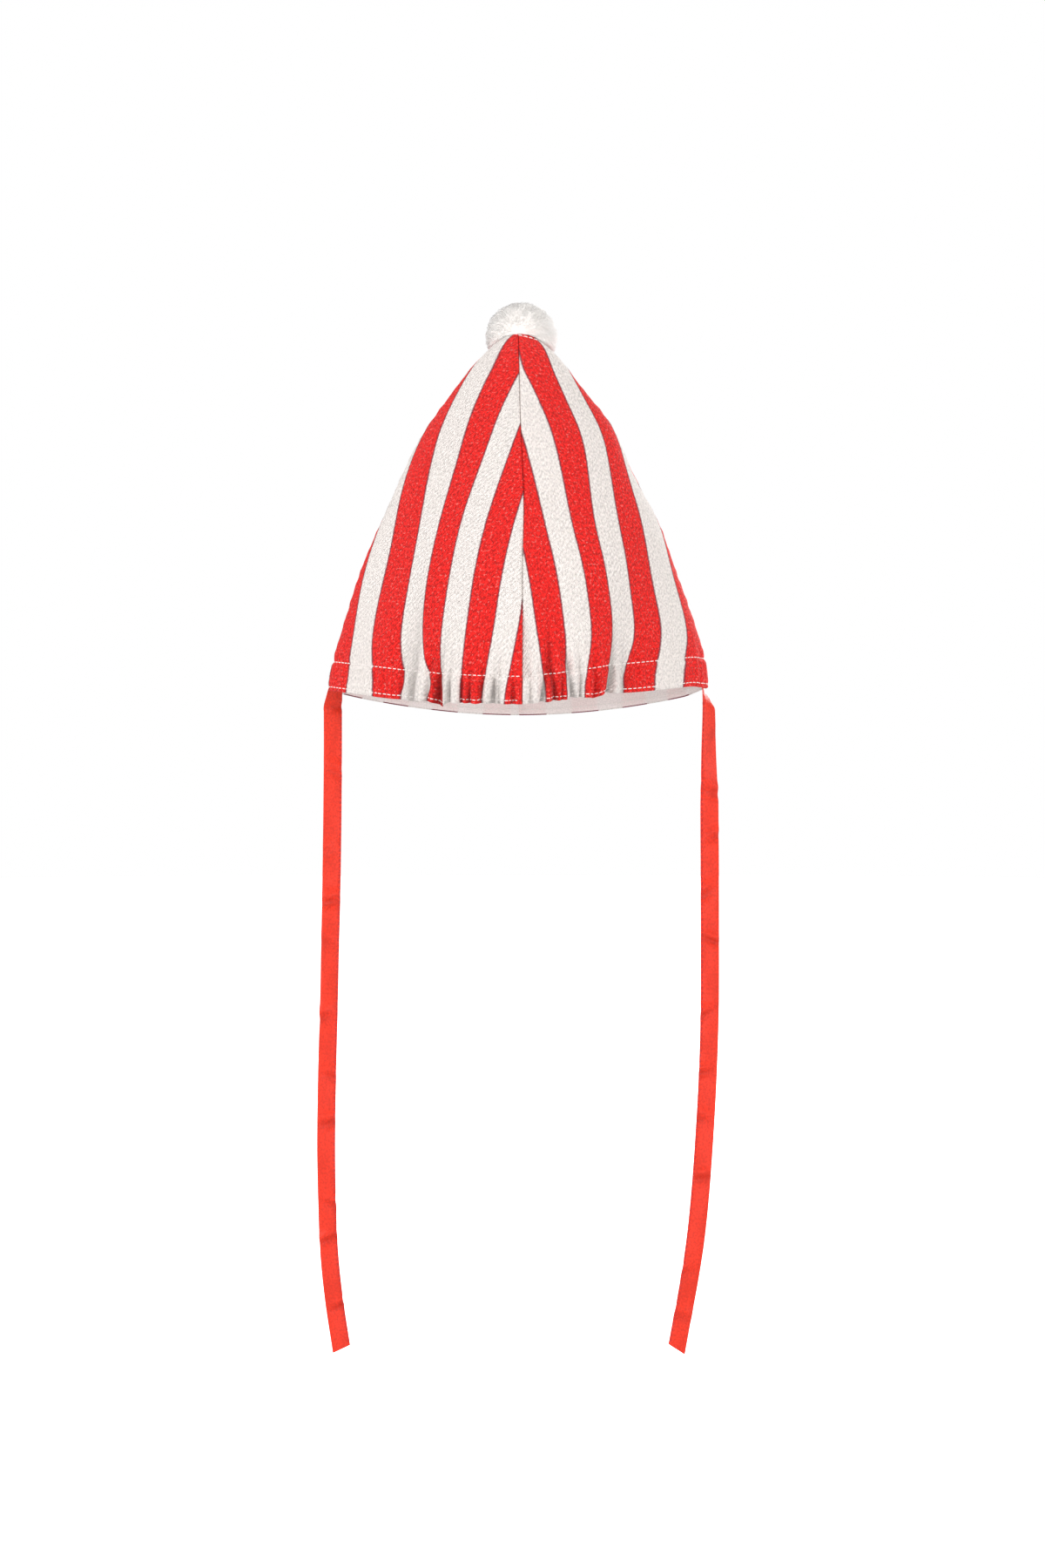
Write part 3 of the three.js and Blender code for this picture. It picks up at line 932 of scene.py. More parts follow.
def ribbon_satin(tie):
    """Red satin with fine threads across it, a soft gloss and painted shade in its wrinkles."""
    finish = Finish("ribbon_satin")
    split = finish.node("ShaderNodeSeparateXYZ")
    finish.feed(split.inputs[0], finish.cloth_map())
    threads = finish.noise(finish.cloth_map(across=0.25, up=2.0), size=0.5 * MM)
    cloud = finish.noise(finish.cloth_map(up=0.4), size=9 * MM)
    grain = finish.noise(finish.cloth_map(up=0.8), size=1.1 * MM, detail=3.0)
    red = finish.tones(grain, span=(0.3, 0.7), rgb=tie.red, shades=(0.8, 1.14))
    # Darker cloudy patches along the ribbon: partly random tone, partly painted satin sheen.
    red = finish.tint(red, cloud, span=(0.42, 0.66), most=0.5, rgb=scaled(tie.red, 0.72))
    # Painted shade: the red is darkened in the wrinkles' valleys.
    painted_shade_in_wrinkle = finish.math("MULTIPLY", finish.value("fold"), tie.wrinkle_shade)
    finish.set(Base_Color=finish.mix(painted_shade_in_wrinkle, red, scaled(tie.red, 0.4)))
    finish.set(Roughness=finish.ramp(cloud, 0.3, 0.7, start=0.4, end=0.5), Specular_IOR_Level=0.22)
    rib = finish.wave(split.outputs[1], pitch=0.35 * MM)
    finish.bump(finish.sum((threads, 1.0), (rib, 0.3)), depth=0.12 * MM, strength=0.4)
    return finish.material


def white_yarn(pompom):
    """Soft white yarn, each end a little lighter or darker than the next."""
    finish = Finish("white_yarn")
    fibre = finish.noise(finish.place(), size=0.6 * MM, detail=3.0)
    yarn = finish.mix(finish.value("shade"), scaled(pompom.yarn, 0.93), scaled(pompom.yarn, 1.1))
    yarn = finish.tint(yarn, fibre, span=(0.35, 0.75), most=0.2, rgb=scaled(pompom.yarn, 0.92))
    finish.set(Base_Color=yarn, Sheen_Weight=1.0, Sheen_Roughness=0.65)
    finish.set(Roughness=finish.ramp(fibre, 0.2, 0.8, start=0.95, end=0.82), Specular_IOR_Level=0.1)
    finish.bump(fibre, depth=0.15 * MM, strength=0.4)
    return finish.material


def sewing_thread(name, rgb):
    """Twisted sewing thread."""
    finish = Finish(name)
    ply = finish.noise(finish.place(), size=0.35 * MM)
    twisted = finish.tones(ply, span=(0.3, 0.7), rgb=rgb, shades=(0.85, 1.06))
    finish.set(Base_Color=twisted, Sheen_Weight=0.1)
    finish.set(Roughness=finish.ramp(ply, 0.3, 0.7, start=0.7, end=0.55), Specular_IOR_Level=0.35)
    finish.bump(ply, depth=0.1 * MM, strength=0.5)
    return finish.material


def pale_floor(rgb):
    """Matt pale paper for the floor, which glows so that it is as white as the room."""
    finish = Finish("pale_floor")
    grain = finish.noise(finish.place(), size=30 * MM, detail=4.0)
    finish.set(Base_Color=finish.tones(grain, span=(0.3, 0.7), rgb=rgb, shades=(0.985, 1.0)), Roughness=0.9)
    finish.set(Specular_IOR_Level=0.1, Emission_Color=WHITE, Emission_Strength=0.95)
    return finish.material


def white_room():
    """Even white, without shade."""
    finish = Finish("white_room")
    finish.set(Base_Color=BLACK, Specular_IOR_Level=0.0, Emission_Color=WHITE, Emission_Strength=1.0)
    return finish.material


# The pieces

# Heights of the rows that bend round the hem, where the close rows end, where the rows of the tip begin,
# their number, and the top row, above which more rows draw in to the axis: share of its size and lift.
HEM_ROWS = np.array((0.0, 0.12, 0.3, 0.55, 0.85, 1.2, 1.6, 2.0)) * MM
FINE_ROWS_END = 32 * MM
TIP_START = 196 * MM
TIP_STEPS = 7
TIP_HEIGHT = 203.2 * MM
TIP_ROWS = ((0.8, 0.5 * MM), (0.4, 0.8 * MM), (0.05, 0.9 * MM))

# Room between two rows in the casing, two rows above it and two columns, and columns close to a seam.
BACK_GRID = (0.8 * MM, 1.7 * MM, 0.75 * MM)
FRONT_GRID = (1.2 * MM, 2.4 * MM, 1.5 * MM)
LINING_GRID = (1.4 * MM, 3.2 * MM, 1.8 * MM)
CROWN_SEAM_COLUMNS = (0.0, 0.45 * MM, 0.9 * MM, 1.6 * MM)
LINING_SEAM_COLUMNS = (0.0, 0.5 * MM, 1.2 * MM)
PANEL_RUN = 130 * MM

# The folded edge of the hem: how far up it is thick, and the least room in it.
HEM_FOLD_REACH = 1.0 * MM
HEM_FOLD_ROOM = 0.05 * MM

# The lining starts this share of the hem's roll up, and its lower stitches lie higher than the crown's.
LINING_START = 0.5
LINING_STITCH_LIFT = 1.2 * MM

# Stitched lines on a panel: their ends as shares of the hem, and the number of points.
LINE_SPAN = (0.004, 0.996)
LINE_POINTS = 320


def panel_rows(low_step, high_step):
    """Heights of a panel's rows, close together at the hem and in the casing."""
    low = np.arange(HEM_ROWS[-1] + low_step, FINE_ROWS_END, low_step)
    high = np.linspace(FINE_ROWS_END, TIP_START, round((TIP_START - FINE_ROWS_END) / high_step))
    tip = np.linspace(TIP_START, TIP_HEIGHT, TIP_STEPS + 1)[1:]
    return np.concatenate((HEM_ROWS, low, high, tip))


def panel_surface(cloth, gore, grid, seam_columns, start=0.0):
    """A panel's surface on a grid, from a start height up."""
    low_step, high_step, column_step = grid
    rows = panel_rows(low_step, high_step)
    places = spaced(PANEL_RUN, column_step, seam_columns)
    return gore_surface(cloth, gore, level_at(rows[rows >= start]), places)


def close_tip(points):
    """Adds rows that draw the top edge of a panel in to the crown's axis."""
    rows = [points]
    for share, lift in TIP_ROWS:
        rows.append(points[-1:] * (share, share, 1.0) + lift * UP)
    return np.concatenate(rows)


def repeat_top(values):
    """Repeats the top row of values for the rows that close the tip."""
    return np.concatenate([values] + [values[-1:]] * len(TIP_ROWS))


def make_panel(name, surface, outer_depth, inner_depth, finish):
    """A closed panel of cloth whose two faces lie at depths under the cloth's outer surface."""
    points = surface["points"]
    normals = surface["normals"]
    outer = close_tip(points - normals * outer_depth[..., None])
    inner = close_tip(points - normals * inner_depth[..., None])
    inner[-len(TIP_ROWS):, :, 2] -= (inner_depth - outer_depth)[-1].mean()
    rows, columns = outer.shape[:2]
    cloth_map = repeat_top(np.stack((surface["middle"], surface["height"]), axis=-1))
    # The fold value is the painted shade in the gathered folds; the inside value marks the inner face,
    # whose red stripes are painted dark as shade under the turned hem.
    values = {key: np.stack([repeat_top(surface[key])] * 2) for key in ("stripe", "fold")}
    values["inside"] = np.stack((np.zeros((rows, columns)), np.ones((rows, columns))))
    return make_mesh(name, np.stack((outer, inner)), shell_faces(rows, columns), finish,
                     np.stack((cloth_map, cloth_map)), values)


def hem_line(cloth, gore, height, inset=0.0):
    """A line along a panel at a height over the hem, on the cloth or under it by an inset."""
    places = np.linspace(*LINE_SPAN, LINE_POINTS)
    surface = gore_surface(cloth, gore, np.array([level_at(height)]), places)
    line = surface["points"][0] - surface["normals"][0] * inset
    return line, surface["normals"][0] * (1 if inset == 0 else -1)


def sew_panel(context, name, gore, heights, thread, inset=0.0):
    """Sews rows of stitches along a panel, on it or inset."""
    cloth = context.scene.hat_cloth
    stitch = context.scene.hat_stitch
    lines = [hem_line(cloth, gore, height, inset) for height in heights]
    rows = [stitch_row(stitch, *line, skip=SEAM_SKIP) for line in lines]
    stitches = dress(sew(name, rows, thread))


class HAT_OT_crown(bpy.types.Operator):
    """Builds the four striped panels of the crown with their seams, gathered casing and hem stitches"""

    bl_idname = "clown_hat.crown"
    bl_label = "Build the crown"

    def execute(self, context):
        cloth = context.scene.hat_cloth
        finish = striped_cloth(cloth)
        thread = sewing_thread("white_thread", context.scene.hat_stitch.white)
        heights = (cloth.casing_height, cloth.edge_height)
        for gore in GORES:
            grid = BACK_GRID if gore.startswith("back") else FRONT_GRID
            surface = panel_surface(cloth, gore, grid, CROWN_SEAM_COLUMNS)
            panel = make_panel("crown_" + gore, surface, *self.depths(cloth, surface["height"]), finish)
            dress(panel, "gore_" + gore)
            sew_panel(context, "stitches_" + gore, gore, heights, thread)
        return {"FINISHED"}

    def depths(self, cloth, rise):
        """Depths of the cloth's outer and inner face, which bend round the folded edge of the hem."""
        roll = cloth.hem_roll
        bend = np.sqrt(np.maximum(roll ** 2 - np.maximum(roll - rise, 0.0) ** 2, 0.0))
        over = bell(np.maximum(rise - roll, 0.0), HEM_FOLD_REACH)
        fold = cloth.thickness + (2 * roll - cloth.thickness) * over
        return roll - bend, np.where(rise < roll, roll + np.maximum(bend, HEM_FOLD_ROOM), fold)


class HAT_OT_lining(bpy.types.Operator):
    """Builds the four panels of the white lining with the stitches that show inside the hem"""

    bl_idname = "clown_hat.lining"
    bl_label = "Build the lining"

    def execute(self, context):
        cloth = context.scene.hat_cloth
        finish = lining_cloth(cloth)
        thread = sewing_thread("lining_thread", context.scene.hat_stitch.white)
        heights = (cloth.casing_height, cloth.edge_height + LINING_STITCH_LIFT)
        depth = cloth.thickness + cloth.layer_gap
        inside = depth + cloth.lining_thickness
        start = LINING_START * cloth.hem_roll
        for gore in GORES:
            surface = panel_surface(cloth, gore, LINING_GRID, LINING_SEAM_COLUMNS, start)
            faces = (np.full(surface["height"].shape, under) for under in (depth, inside))
            panel = make_panel("inner_" + gore, surface, *faces, finish)
            dress(panel, "lining_" + gore)
            sew_panel(context, "lining_stitches_" + gore, gore, heights, thread, inside)
        return {"FINISHED"}


# How a ribbon hangs: the edge that hangs straight and carries stitches, slant of the cut end, seed of its
# wrinkles, and how far the twist at its top has opened, as distances down it in millimetres and shares of
# its width.
TIE_HANG = {
    "tie_left": {"edge": 1, "slant": -0.3, "seed": 3, "open": ((0.0, 0.45), (7.0, 0.74), (18.0, 1.0))},
    "tie_right": {"edge": -1, "slant": 0.42, "seed": 5,
                  "open": ((0.0, 0.2), (6.5, 0.24), (17.0, 0.76), (40.0, 0.86), (70.0, 1.0))},
}

# Steps of the route from one point to the next, room between two rows, and columns.
TIE_ROUTE_STEPS = 24
TIE_STEP = 1.1 * MM
TIE_COLUMNS = 15

# The ribbon sways round its length and waves out of its plane: size and wavelength.
TIE_SWAY = (np.radians(5.0), 130 * MM)
TIE_WAVE = (1.0 * MM, 90 * MM)

# Wrinkles: the first in pitches, how far each strays in pitches, its slant and half width in millimetres,
# its share of the depth, where across the ribbon its middle is and how far across it goes. A valley follows
# each, so many half widths on and with a share of its depth. A turned part of the ribbon has no wrinkles.
WRINKLE_FIRST = 0.6
WRINKLE_STRAY = (-0.3, 0.3)
WRINKLE_SLANT = (-5, 5)
WRINKLE_DEPTH = (0.5, 1.1)
WRINKLE_HALF_WIDTH = (1.8, 3.4)
WRINKLE_MIDDLE = (-0.5, 0.5)
WRINKLE_BREADTH = 0.55
VALLEY_PLACE = 1.7
VALLEY_DEPTH = 0.7
WRINKLE_SPAN = (0.75, 0.97)

# Where the slant of the cut end and the stitches begin, how much thinner the ribbon is at its edges and
# along its stitches, as shares of its thickness, and the half width of the stitched groove.
TIE_END = 14 * MM
TIE_STITCH_START = 12 * MM
TIE_EDGE_THINNING = 0.42
TIE_EDGE_POWER = 8
TIE_SEAM_THINNING = 0.22
TIE_SEAM_WIDTH = 0.5 * MM


def tie_frame(tie, name):
    """Stations down a ribbon: centre points, directions down and across it, and distance from its top."""
    hang = TIE_HANG[name]
    route = np.array([(x, 0.0, z) for x, z in TIE_ROUTES[name]]) * MM
    curve = smooth_line(route, TIE_ROUTE_STEPS)
    total = along(curve)[-1]
    distance = np.linspace(0, total, round(total / TIE_STEP))
    centre = resample(curve, distance)
    down = unit(np.gradient(centre, axis=0))
    level = np.cross((0.0, 1.0, 0.0), down)
    level = level * np.sign(level[-1, 0])
    share = np.interp(distance / MM, *np.array(hang["open"]).T)
    most, wavelength = TIE_SWAY
    sway = most * ripple(distance, 0 * distance, wavelength, hang["seed"])
    turn = np.arccos(share) + sway * share
    across = level * np.cos(turn)[:, None] + np.cross(level, down) * np.sin(turn)[:, None]
    centre = centre + level * (hang["edge"] * (1 - share) * tie.width / 2)[:, None]
    return centre, down, across, distance


def tie_wrinkles(tie, seed, distance, share):
    """How far a ribbon stands out and its painted shade, at a distance down it and a share across it."""
    draw = np.random.default_rng(seed)
    high, wavelength = TIE_WAVE
    total = high * ripple(distance, 0 * share, wavelength, seed + 1)
    dark = np.zeros(distance.shape)
    places = np.arange(WRINKLE_FIRST, distance.max() / tie.wrinkle_pitch) * tie.wrinkle_pitch
    for place in places + draw.uniform(*WRINKLE_STRAY, len(places)) * tie.wrinkle_pitch:
        slant = draw.uniform(*WRINKLE_SLANT) * MM
        depth = tie.wrinkle_depth * draw.uniform(*WRINKLE_DEPTH)
        half_width = draw.uniform(*WRINKLE_HALF_WIDTH) * MM
        strength = bell(share - draw.uniform(*WRINKLE_MIDDLE), WRINKLE_BREADTH)
        offset = distance - place - slant * share
        total = total + depth * strength * bell(offset, half_width)
        valley = strength * bell(offset - VALLEY_PLACE * half_width, half_width)
        total = total - VALLEY_DEPTH * depth * valley
        # Painted shade in the valley behind each wrinkle.
        dark = np.maximum(dark, depth / tie.wrinkle_depth * valley)
    return total, dark


class HAT_OT_ties(bpy.types.Operator):
    """Builds the two ribbon ties that hang from the side seams, with the stitches along their edges"""

    bl_idname = "clown_hat.ties"
    bl_label = "Build the ribbon ties"

    def execute(self, context):
        tie = context.scene.hat_tie
        stitch = context.scene.hat_stitch
        finish = ribbon_satin(tie)
        thread = sewing_thread("red_thread", stitch.red)
        for name in TIE_ROUTES:
            self.build_tie(tie, stitch, name, finish, thread)
        return {"FINISHED"}

    def build_tie(self, tie, stitch, name, finish, thread):
        """Builds one ribbon with its turn at the top, its wrinkles and its cut end."""
        hang = TIE_HANG[name]
        centre, down, across, distance = tie_frame(tie, name)
        facing = unit(np.cross(down, across))
        share = np.linspace(-0.5, 0.5, TIE_COLUMNS)
        run, side = np.meshgrid(distance, share, indexing="ij")
        end = hang["slant"] * tie.width * side * smooth_step(distance[-1] - TIE_END, distance[-1], run)
        # dark is the painted shade in the wrinkles' valleys, kept as the ribbon's fold value.
        stand, dark = tie_wrinkles(tie, hang["seed"], run, side)
        stand = stand * smooth_step(*WRINKLE_SPAN, np.abs(across[:, :1]))
        seam = bell((side * hang["edge"] - 0.5) * tie.width + tie.edge_seam, TIE_SEAM_WIDTH)
        at_edge = np.abs(2 * side) ** TIE_EDGE_POWER
        thick = tie.thickness * (0.5 - TIE_EDGE_THINNING * at_edge - TIE_SEAM_THINNING * seam)
        middle = centre[:, None] + across[:, None] * (side * tie.width)[..., None]
        middle = middle + down[:, None] * end[..., None] + facing[:, None] * stand[..., None]
        front = middle - facing[:, None] * thick[..., None]
        back = middle + facing[:, None] * thick[..., None]
        cloth_map = np.stack((side * tie.width, run), axis=-1)
        ribbon = make_mesh("ribbon_" + name, np.stack((front, back)), shell_faces(*run.shape), finish,
                           np.stack((cloth_map, cloth_map)), {"fold": np.stack((dark, dark))}, sharp=60.0)
        dress(ribbon, name)
        column = int(round((0.5 + hang["edge"] * (0.5 - tie.edge_seam / tie.width)) * (TIE_COLUMNS - 1)))
        first = int(round(TIE_STITCH_START / TIE_STEP))
        rows = [stitch_row(stitch, face[first:, column], facing[first:] * sign, skip=SEAM_SKIP)
                for face, sign in ((front, -1), (back, 1))]
        stitches = dress(sew("stitches_" + name, rows, thread))


# The ball: its height over its width, the share of its radius that is solid, how far and which way it
# leans, its rows and columns, its room to the crown and its shade between the yarn ends.
POMPOM_FLATTENING = 0.95
POMPOM_FILL = 0.975
POMPOM_LEAN = 0.035
POMPOM_LEAN_TURN = math.radians(60)
BALL_GRID = (84, 190)
BALL_MARGIN = 0.3 * MM
BALL_SHADE = 0.2

# Shares of its reach at which the ball is tested against the crown: first, last and number.
REACH_SHARES = (0.15, 1.0, 120)

# Lumps of the ball and its combed ridges: lumps to a radius, ridges round it, how many sets of ridges, how
# far they wind, and seeds.
LUMPS = 3.0
LUMP_SEED = 61
COMB_WAVES = (24, 110)
COMB_SETS = 8
COMB_WIND = (2, 9)
COMB_SEED = 62

# Loose yarn ends: sides, rings along one, radius at each ring, how far round the ball one goes, how
# loosely, how deep it starts and how high it ends in shares of the fuzz, spread of sizes and shades, room
# to the crown, seed, the share of them that stands close round the tip, and the way to the tip.
STRAND_SIDES = 3
STRAND_RINGS = np.array((0.0, 0.5, 1.0))
STRAND_TAPER = np.array((0.8, 1.0, 0.35))
STRAND_TURN = (0.2, 0.5)
STRAND_LOOSE = 0.3
STRAND_START = -0.2
STRAND_LIFT = (0.3, 1.0)
STRAND_SIZE = (0.7, 1.3)
STRAND_SHADE = (0.5, 1)
STRAND_MARGIN = 0.2 * MM
STRAND_SEED = 17
TIP_SHARE = 0.35
TIP_WAY = np.array((0.0, -1.0, 0.0))

# The thread at the tip: angles in degrees, distances below the top row, height over the cloth, and points.
TIP_THREAD_TURN = (268, 338)
TIP_THREAD_DROP = (0.3 * MM, 3.5 * MM)
TIP_THREAD_STAND = 0.15 * MM
TIP_THREAD_POINTS = 60


def inside_crown(points, margin):
    """Which points lie in the crown, or closer to it than a margin."""
    level = level_at(np.clip(points[..., 2], 0, TIP_HEIGHT))
    wide = section_value(HALF_WIDTH, level) + margin
    deep = np.where(points[..., 1] > 0, section_value(FRONT, level), section_value(BACK, level)) + margin
    in_section = (points[..., 0] / wide) ** 2 + (points[..., 1] / deep) ** 2 < 1
    return in_section & (points[..., 2] < TIP_HEIGHT + margin)


class HAT_OT_pompom(bpy.types.Operator):
    """Builds the pompom, a soft ball of yarn combed out from the crown's tip, and its holding thread"""

    bl_idname = "clown_hat.pompom"
    bl_label = "Build the pompom"

    def execute(self, context):
        pompom = context.scene.hat_pompom
        low, high = (np.array(corner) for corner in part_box("pompom"))
        self.radius = (high[0] - low[0]) / 2
        self.centre = np.array(((high[0] + low[0]) / 2, (high[1] + low[1]) / 2,
                                high[2] - self.radius * POMPOM_FLATTENING))
        draw = np.random.default_rng(STRAND_SEED)
        rows, columns = BALL_GRID
        fall = np.linspace(0.0, math.pi, rows)[:, None]
        turn = np.linspace(0.0, math.tau, columns, endpoint=False)[None]
        ball = self.place(self.clear_of_crown(self.reach(pompom, fall, turn), fall, turn), fall, turn)
        faces = grid_faces(rows, columns + 1)
        faces = (faces // (columns + 1)) * columns + (faces % (columns + 1)) % columns
        strands = self.comb(pompom, draw)
        strand_faces = tube_faces(len(strands), len(STRAND_RINGS), STRAND_SIDES)
        count = rows * columns
        strand_shade = draw.uniform(*STRAND_SHADE, len(strands))
        strand_shade = np.repeat(strand_shade, len(STRAND_RINGS) * STRAND_SIDES)
        shade = np.concatenate((np.full(count, BALL_SHADE), strand_shade))
        points = np.concatenate((ball.reshape(-1, 3), strands.reshape(-1, 3)))
        faces = faces[:, ::-1].tolist() + moved_on(strand_faces, count)
        finish = white_yarn(pompom)
        yarn = make_mesh("pompom_yarn", points, faces, finish, values={"shade": shade}, sharp=180.0)
        dress(yarn, "pompom")
        self.tie_on(context)
        return {"FINISHED"}

    def place(self, reach, fall, turn):
        """Points at a reach from the pompom's middle, at an angle from the side of the tip and round it."""
        way = joined(np.sin(fall) * np.cos(turn), -np.cos(fall), np.sin(fall) * np.sin(turn))
        return self.centre + way * reach[..., None] * (1.0, 1.0, POMPOM_FLATTENING)

    def reach(self, pompom, fall, turn):
        """How far the combed ball reaches from its middle."""
        wide = np.sin(fall)
        lumps = ripple(LUMPS * np.cos(turn) * wide, LUMPS * np.sin(turn) * wide, 1.0, LUMP_SEED)
        lean = POMPOM_LEAN * wide * np.cos(turn - POMPOM_LEAN_TURN)
        draw = np.random.default_rng(COMB_SEED)
        combed = 0
        for count in draw.integers(*COMB_WAVES, COMB_SETS):
            wind = draw.uniform(*COMB_WIND) * fall
            combed = combed + np.sin(count * turn + wind + draw.uniform(0, math.tau))
        combed = combed * wide / math.sqrt(COMB_SETS)
        return self.radius * (POMPOM_FILL + lean) + pompom.lumps * lumps + pompom.combing * combed

    def clear_of_crown(self, reach, fall, turn):
        """A reach made less where the crown's tip is in the way."""
        shares = np.linspace(*REACH_SHARES)
        tested = (self.place(reach * share, fall, turn) for share in shares)
        blocked = np.stack([inside_crown(points, BALL_MARGIN) for points in tested])
        return reach * np.where(blocked.any(axis=0), shares[np.argmax(blocked, axis=0)], 1.0)

    def comb(self, pompom, draw):
        """Thin yarn ends that lie on the ball, combed away from the tip, as rings of points."""
        count = pompom.strands
        root = unit(draw.normal(size=(count, 3)))
        by_tip = round(TIP_SHARE * count)
        root[:by_tip] = unit(root[:by_tip] + TIP_WAY)
        away = root * (root @ TIP_WAY)[:, None] - TIP_WAY
        loose = draw.normal(size=(count, 3)) * STRAND_LOOSE
        ahead = unit(away + loose - root * np.sum(loose * root, axis=1, keepdims=True))
        bend = (draw.uniform(*STRAND_TURN, count)[:, None] * STRAND_RINGS)[..., None]
        way = np.cos(bend) * root[:, None] + np.sin(bend) * ahead[:, None]
        fall = np.arccos(np.clip(way @ TIP_WAY, -1.0, 1.0))
        turn = np.arctan2(way[..., 2], way[..., 0])
        rise = draw.uniform(*STRAND_LIFT, count)[:, None] * STRAND_RINGS ** 2
        lift = (STRAND_START + rise) * pompom.fuzz
        line = self.place(self.reach(pompom, fall, turn) + lift, fall, turn)
        line = line[~inside_crown(line, STRAND_MARGIN).any(axis=1)]
        ahead = unit(np.gradient(line, axis=1))
        side = unit(np.cross(ahead, line - self.centre))
        size = pompom.strand_radius * draw.uniform(*STRAND_SIZE, len(line))[:, None] * STRAND_TAPER
        return tube_points(line, side, np.cross(ahead, side), size, STRAND_SIDES)

    def tie_on(self, context):
        """White thread over the top edge of the crown, where the pompom is sewn on."""
        stitch = context.scene.hat_stitch
        angles = np.radians(np.linspace(*TIP_THREAD_TURN, TIP_THREAD_POINTS))
        first, last = (TIP_HEIGHT - drop for drop in TIP_THREAD_DROP)
        levels = level_at(np.linspace(first, last, TIP_THREAD_POINTS))
        normals = crown_normal(angles, levels)
        line = crown_point(angles, levels) + normals * TIP_THREAD_STAND
        thread = sewing_thread("tip_thread", stitch.white)
        dress(sew("tip_stitches", [stitch_row(stitch, line, normals)], thread))


# Soft lights: place and width in metres. The stage setting of the same name is a light's power.
LIGHTS = {
    "key": ((-1.9, -1.0, 0.25), 1.2),
    "fill": ((1.9, -1.0, 0.1), 1.0),
    "low": ((0.0, -1.0, -0.36), 0.3),
    "rear": ((0.9, 1.8, 0.45), 1.2),
    "top": ((0.0, -0.5, 2.2), 2.0),
}
LIGHT_TARGET = (0.0, 0.0, 0.05)
AMBIENT_TINT = (1.0, 0.99, 0.98, 1.0)

# The floor's rings and the white room round it, in metres, with angles in degrees.
FLOOR_RINGS = np.array((0.0, 0.4, 1.0, 2.0, 4.0, 7.9))
FLOOR_COLUMNS = 65
ROOM_RADIUS = 8
ROOM_RISE = (-20, 90)
ROOM_GRID = (24, 49)


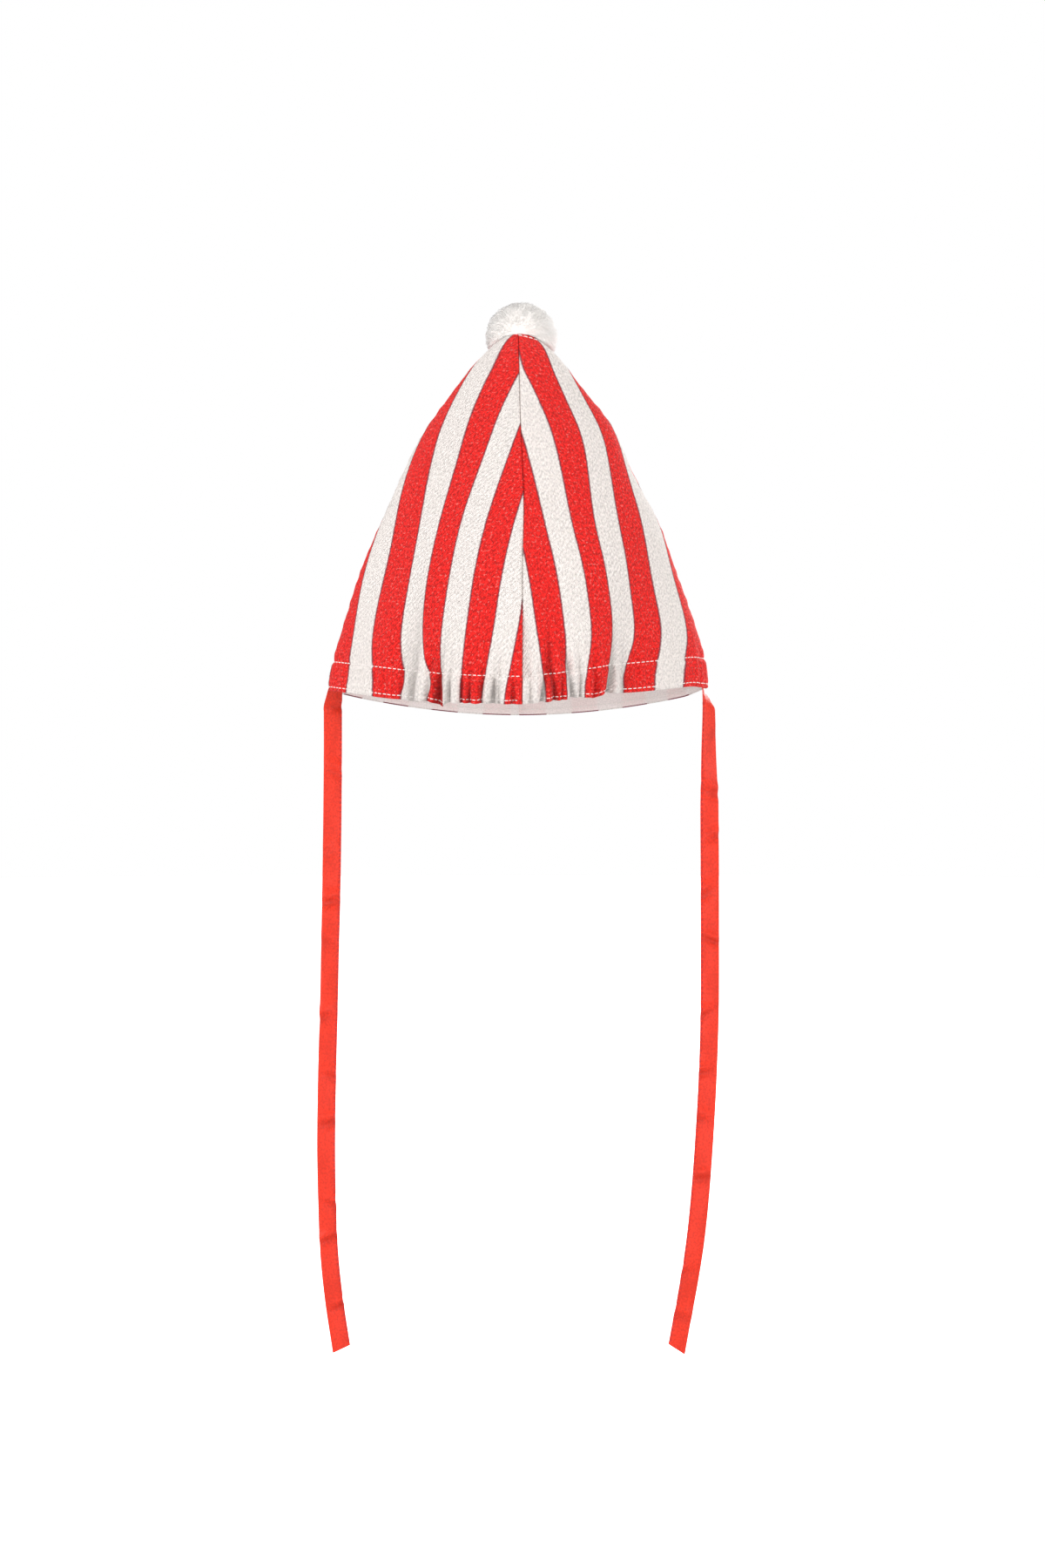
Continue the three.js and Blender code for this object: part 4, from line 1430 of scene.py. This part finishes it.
class HAT_OT_stage(bpy.types.Operator):
    """Builds the camera, the pale floor in its plain white room and the soft lights"""

    bl_idname = "clown_hat.stage"
    bl_label = "Build the stage"

    def execute(self, context):
        stage = context.scene.hat_stage
        self.make_camera(context, stage)
        floor_height = CAD_BOX[0][2] - stage.floor_drop
        self.make_floor(stage, floor_height)
        self.make_backdrop(floor_height)
        world = bpy.data.worlds.new("soft_light")
        world.use_nodes = True
        background = world.node_tree.nodes["Background"]
        background.inputs["Color"].default_value = AMBIENT_TINT
        background.inputs["Strength"].default_value = stage.ambient
        context.scene.world = world
        for name, (place, size) in LIGHTS.items():
            self.make_light(name + "_light", place, size, getattr(stage, name))
        context.scene.view_settings.view_transform = "Standard"
        return {"FINISHED"}

    def make_camera(self, context, stage):
        """The photo's view of the hat, level and from behind it."""
        data = bpy.data.cameras.new("camera")
        data.lens = stage.lens
        camera = add_object("camera", data)
        camera.location = (stage.camera_side, -stage.camera_distance, stage.camera_height)
        camera.rotation_euler = (math.pi / 2, 0.0, 0.0)
        context.scene.camera = camera

    def make_floor(self, stage, height):
        """A round pale floor below the ribbons."""
        rings = FLOOR_RINGS[:, None]
        turn = np.linspace(0, math.tau, FLOOR_COLUMNS)[None]
        points = joined(rings * np.cos(turn), rings * np.sin(turn), height)
        floor = self.make_set("floor", points, pale_floor(stage.floor))
        floor.visible_diffuse = False
        return floor

    def make_backdrop(self, height):
        """A plain white room round the stage that gives no light."""
        rows, columns = ROOM_GRID
        rise = np.radians(np.linspace(*ROOM_RISE, rows))[:, None]
        turn = np.linspace(0, math.tau, columns)[None]
        way = joined(np.cos(rise) * np.cos(turn), np.cos(rise) * np.sin(turn), np.sin(rise))
        points = ROOM_RADIUS * way + height * UP
        backdrop = self.make_set("backdrop", points, white_room())
        backdrop.visible_diffuse = False
        backdrop.visible_glossy = False
        backdrop.visible_transmission = False
        backdrop.visible_shadow = False
        return backdrop

    def make_set(self, name, points, finish):
        """A grid that faces the hat."""
        return make_mesh(name, points, grid_faces(*points.shape[:2])[:, ::-1], finish)

    def make_light(self, name, place, size, power):
        """A round soft light that looks at the hat and isn't seen itself."""
        data = bpy.data.lights.new(name, "AREA")
        data.shape = "DISK"
        data.size = size
        data.energy = power
        light = add_object(name, data)
        light.location = place
        aim = Vector(LIGHT_TARGET) - Vector(place)
        light.rotation_mode = "QUATERNION"
        light.rotation_quaternion = aim.to_track_quat("-Z", "Y")
        light.visible_camera = False


OPERATORS = (HAT_OT_stage, HAT_OT_ties, HAT_OT_crown, HAT_OT_lining, HAT_OT_pompom)


class HAT_PT_sidebar(bpy.types.Panel):
    """Lists the hat's settings and the operators that build it"""

    bl_idname = "HAT_PT_sidebar"
    bl_label = "Clown Hat"
    bl_space_type = "VIEW_3D"
    bl_region_type = "UI"
    bl_category = "Clown Hat"

    def draw(self, context):
        for operator in OPERATORS:
            self.layout.operator(operator.bl_idname)
        for group, kind in SETTINGS.items():
            box = self.layout.box()
            box.label(text=kind.__doc__)
            for key in kind.__annotations__:
                box.prop(getattr(context.scene, group), key)


def register():
    """Adds the settings, the operators and the panel."""
    for group, kind in SETTINGS.items():
        bpy.utils.register_class(kind)
        setattr(bpy.types.Scene, group, PointerProperty(type=kind))
    for kind in (*OPERATORS, HAT_PT_sidebar):
        bpy.utils.register_class(kind)


def unregister():
    """Takes them away again in the opposite order."""
    for kind in (HAT_PT_sidebar, *reversed(OPERATORS)):
        bpy.utils.unregister_class(kind)
    for group, kind in reversed(SETTINGS.items()):
        delattr(bpy.types.Scene, group)
        bpy.utils.unregister_class(kind)


def main():
    """Builds the hat by its operators, in order."""
    register()
    for operator in OPERATORS:
        getattr(bpy.ops.clown_hat, operator.bl_idname.split(".")[1])()


if __name__ == "__main__":
    main()
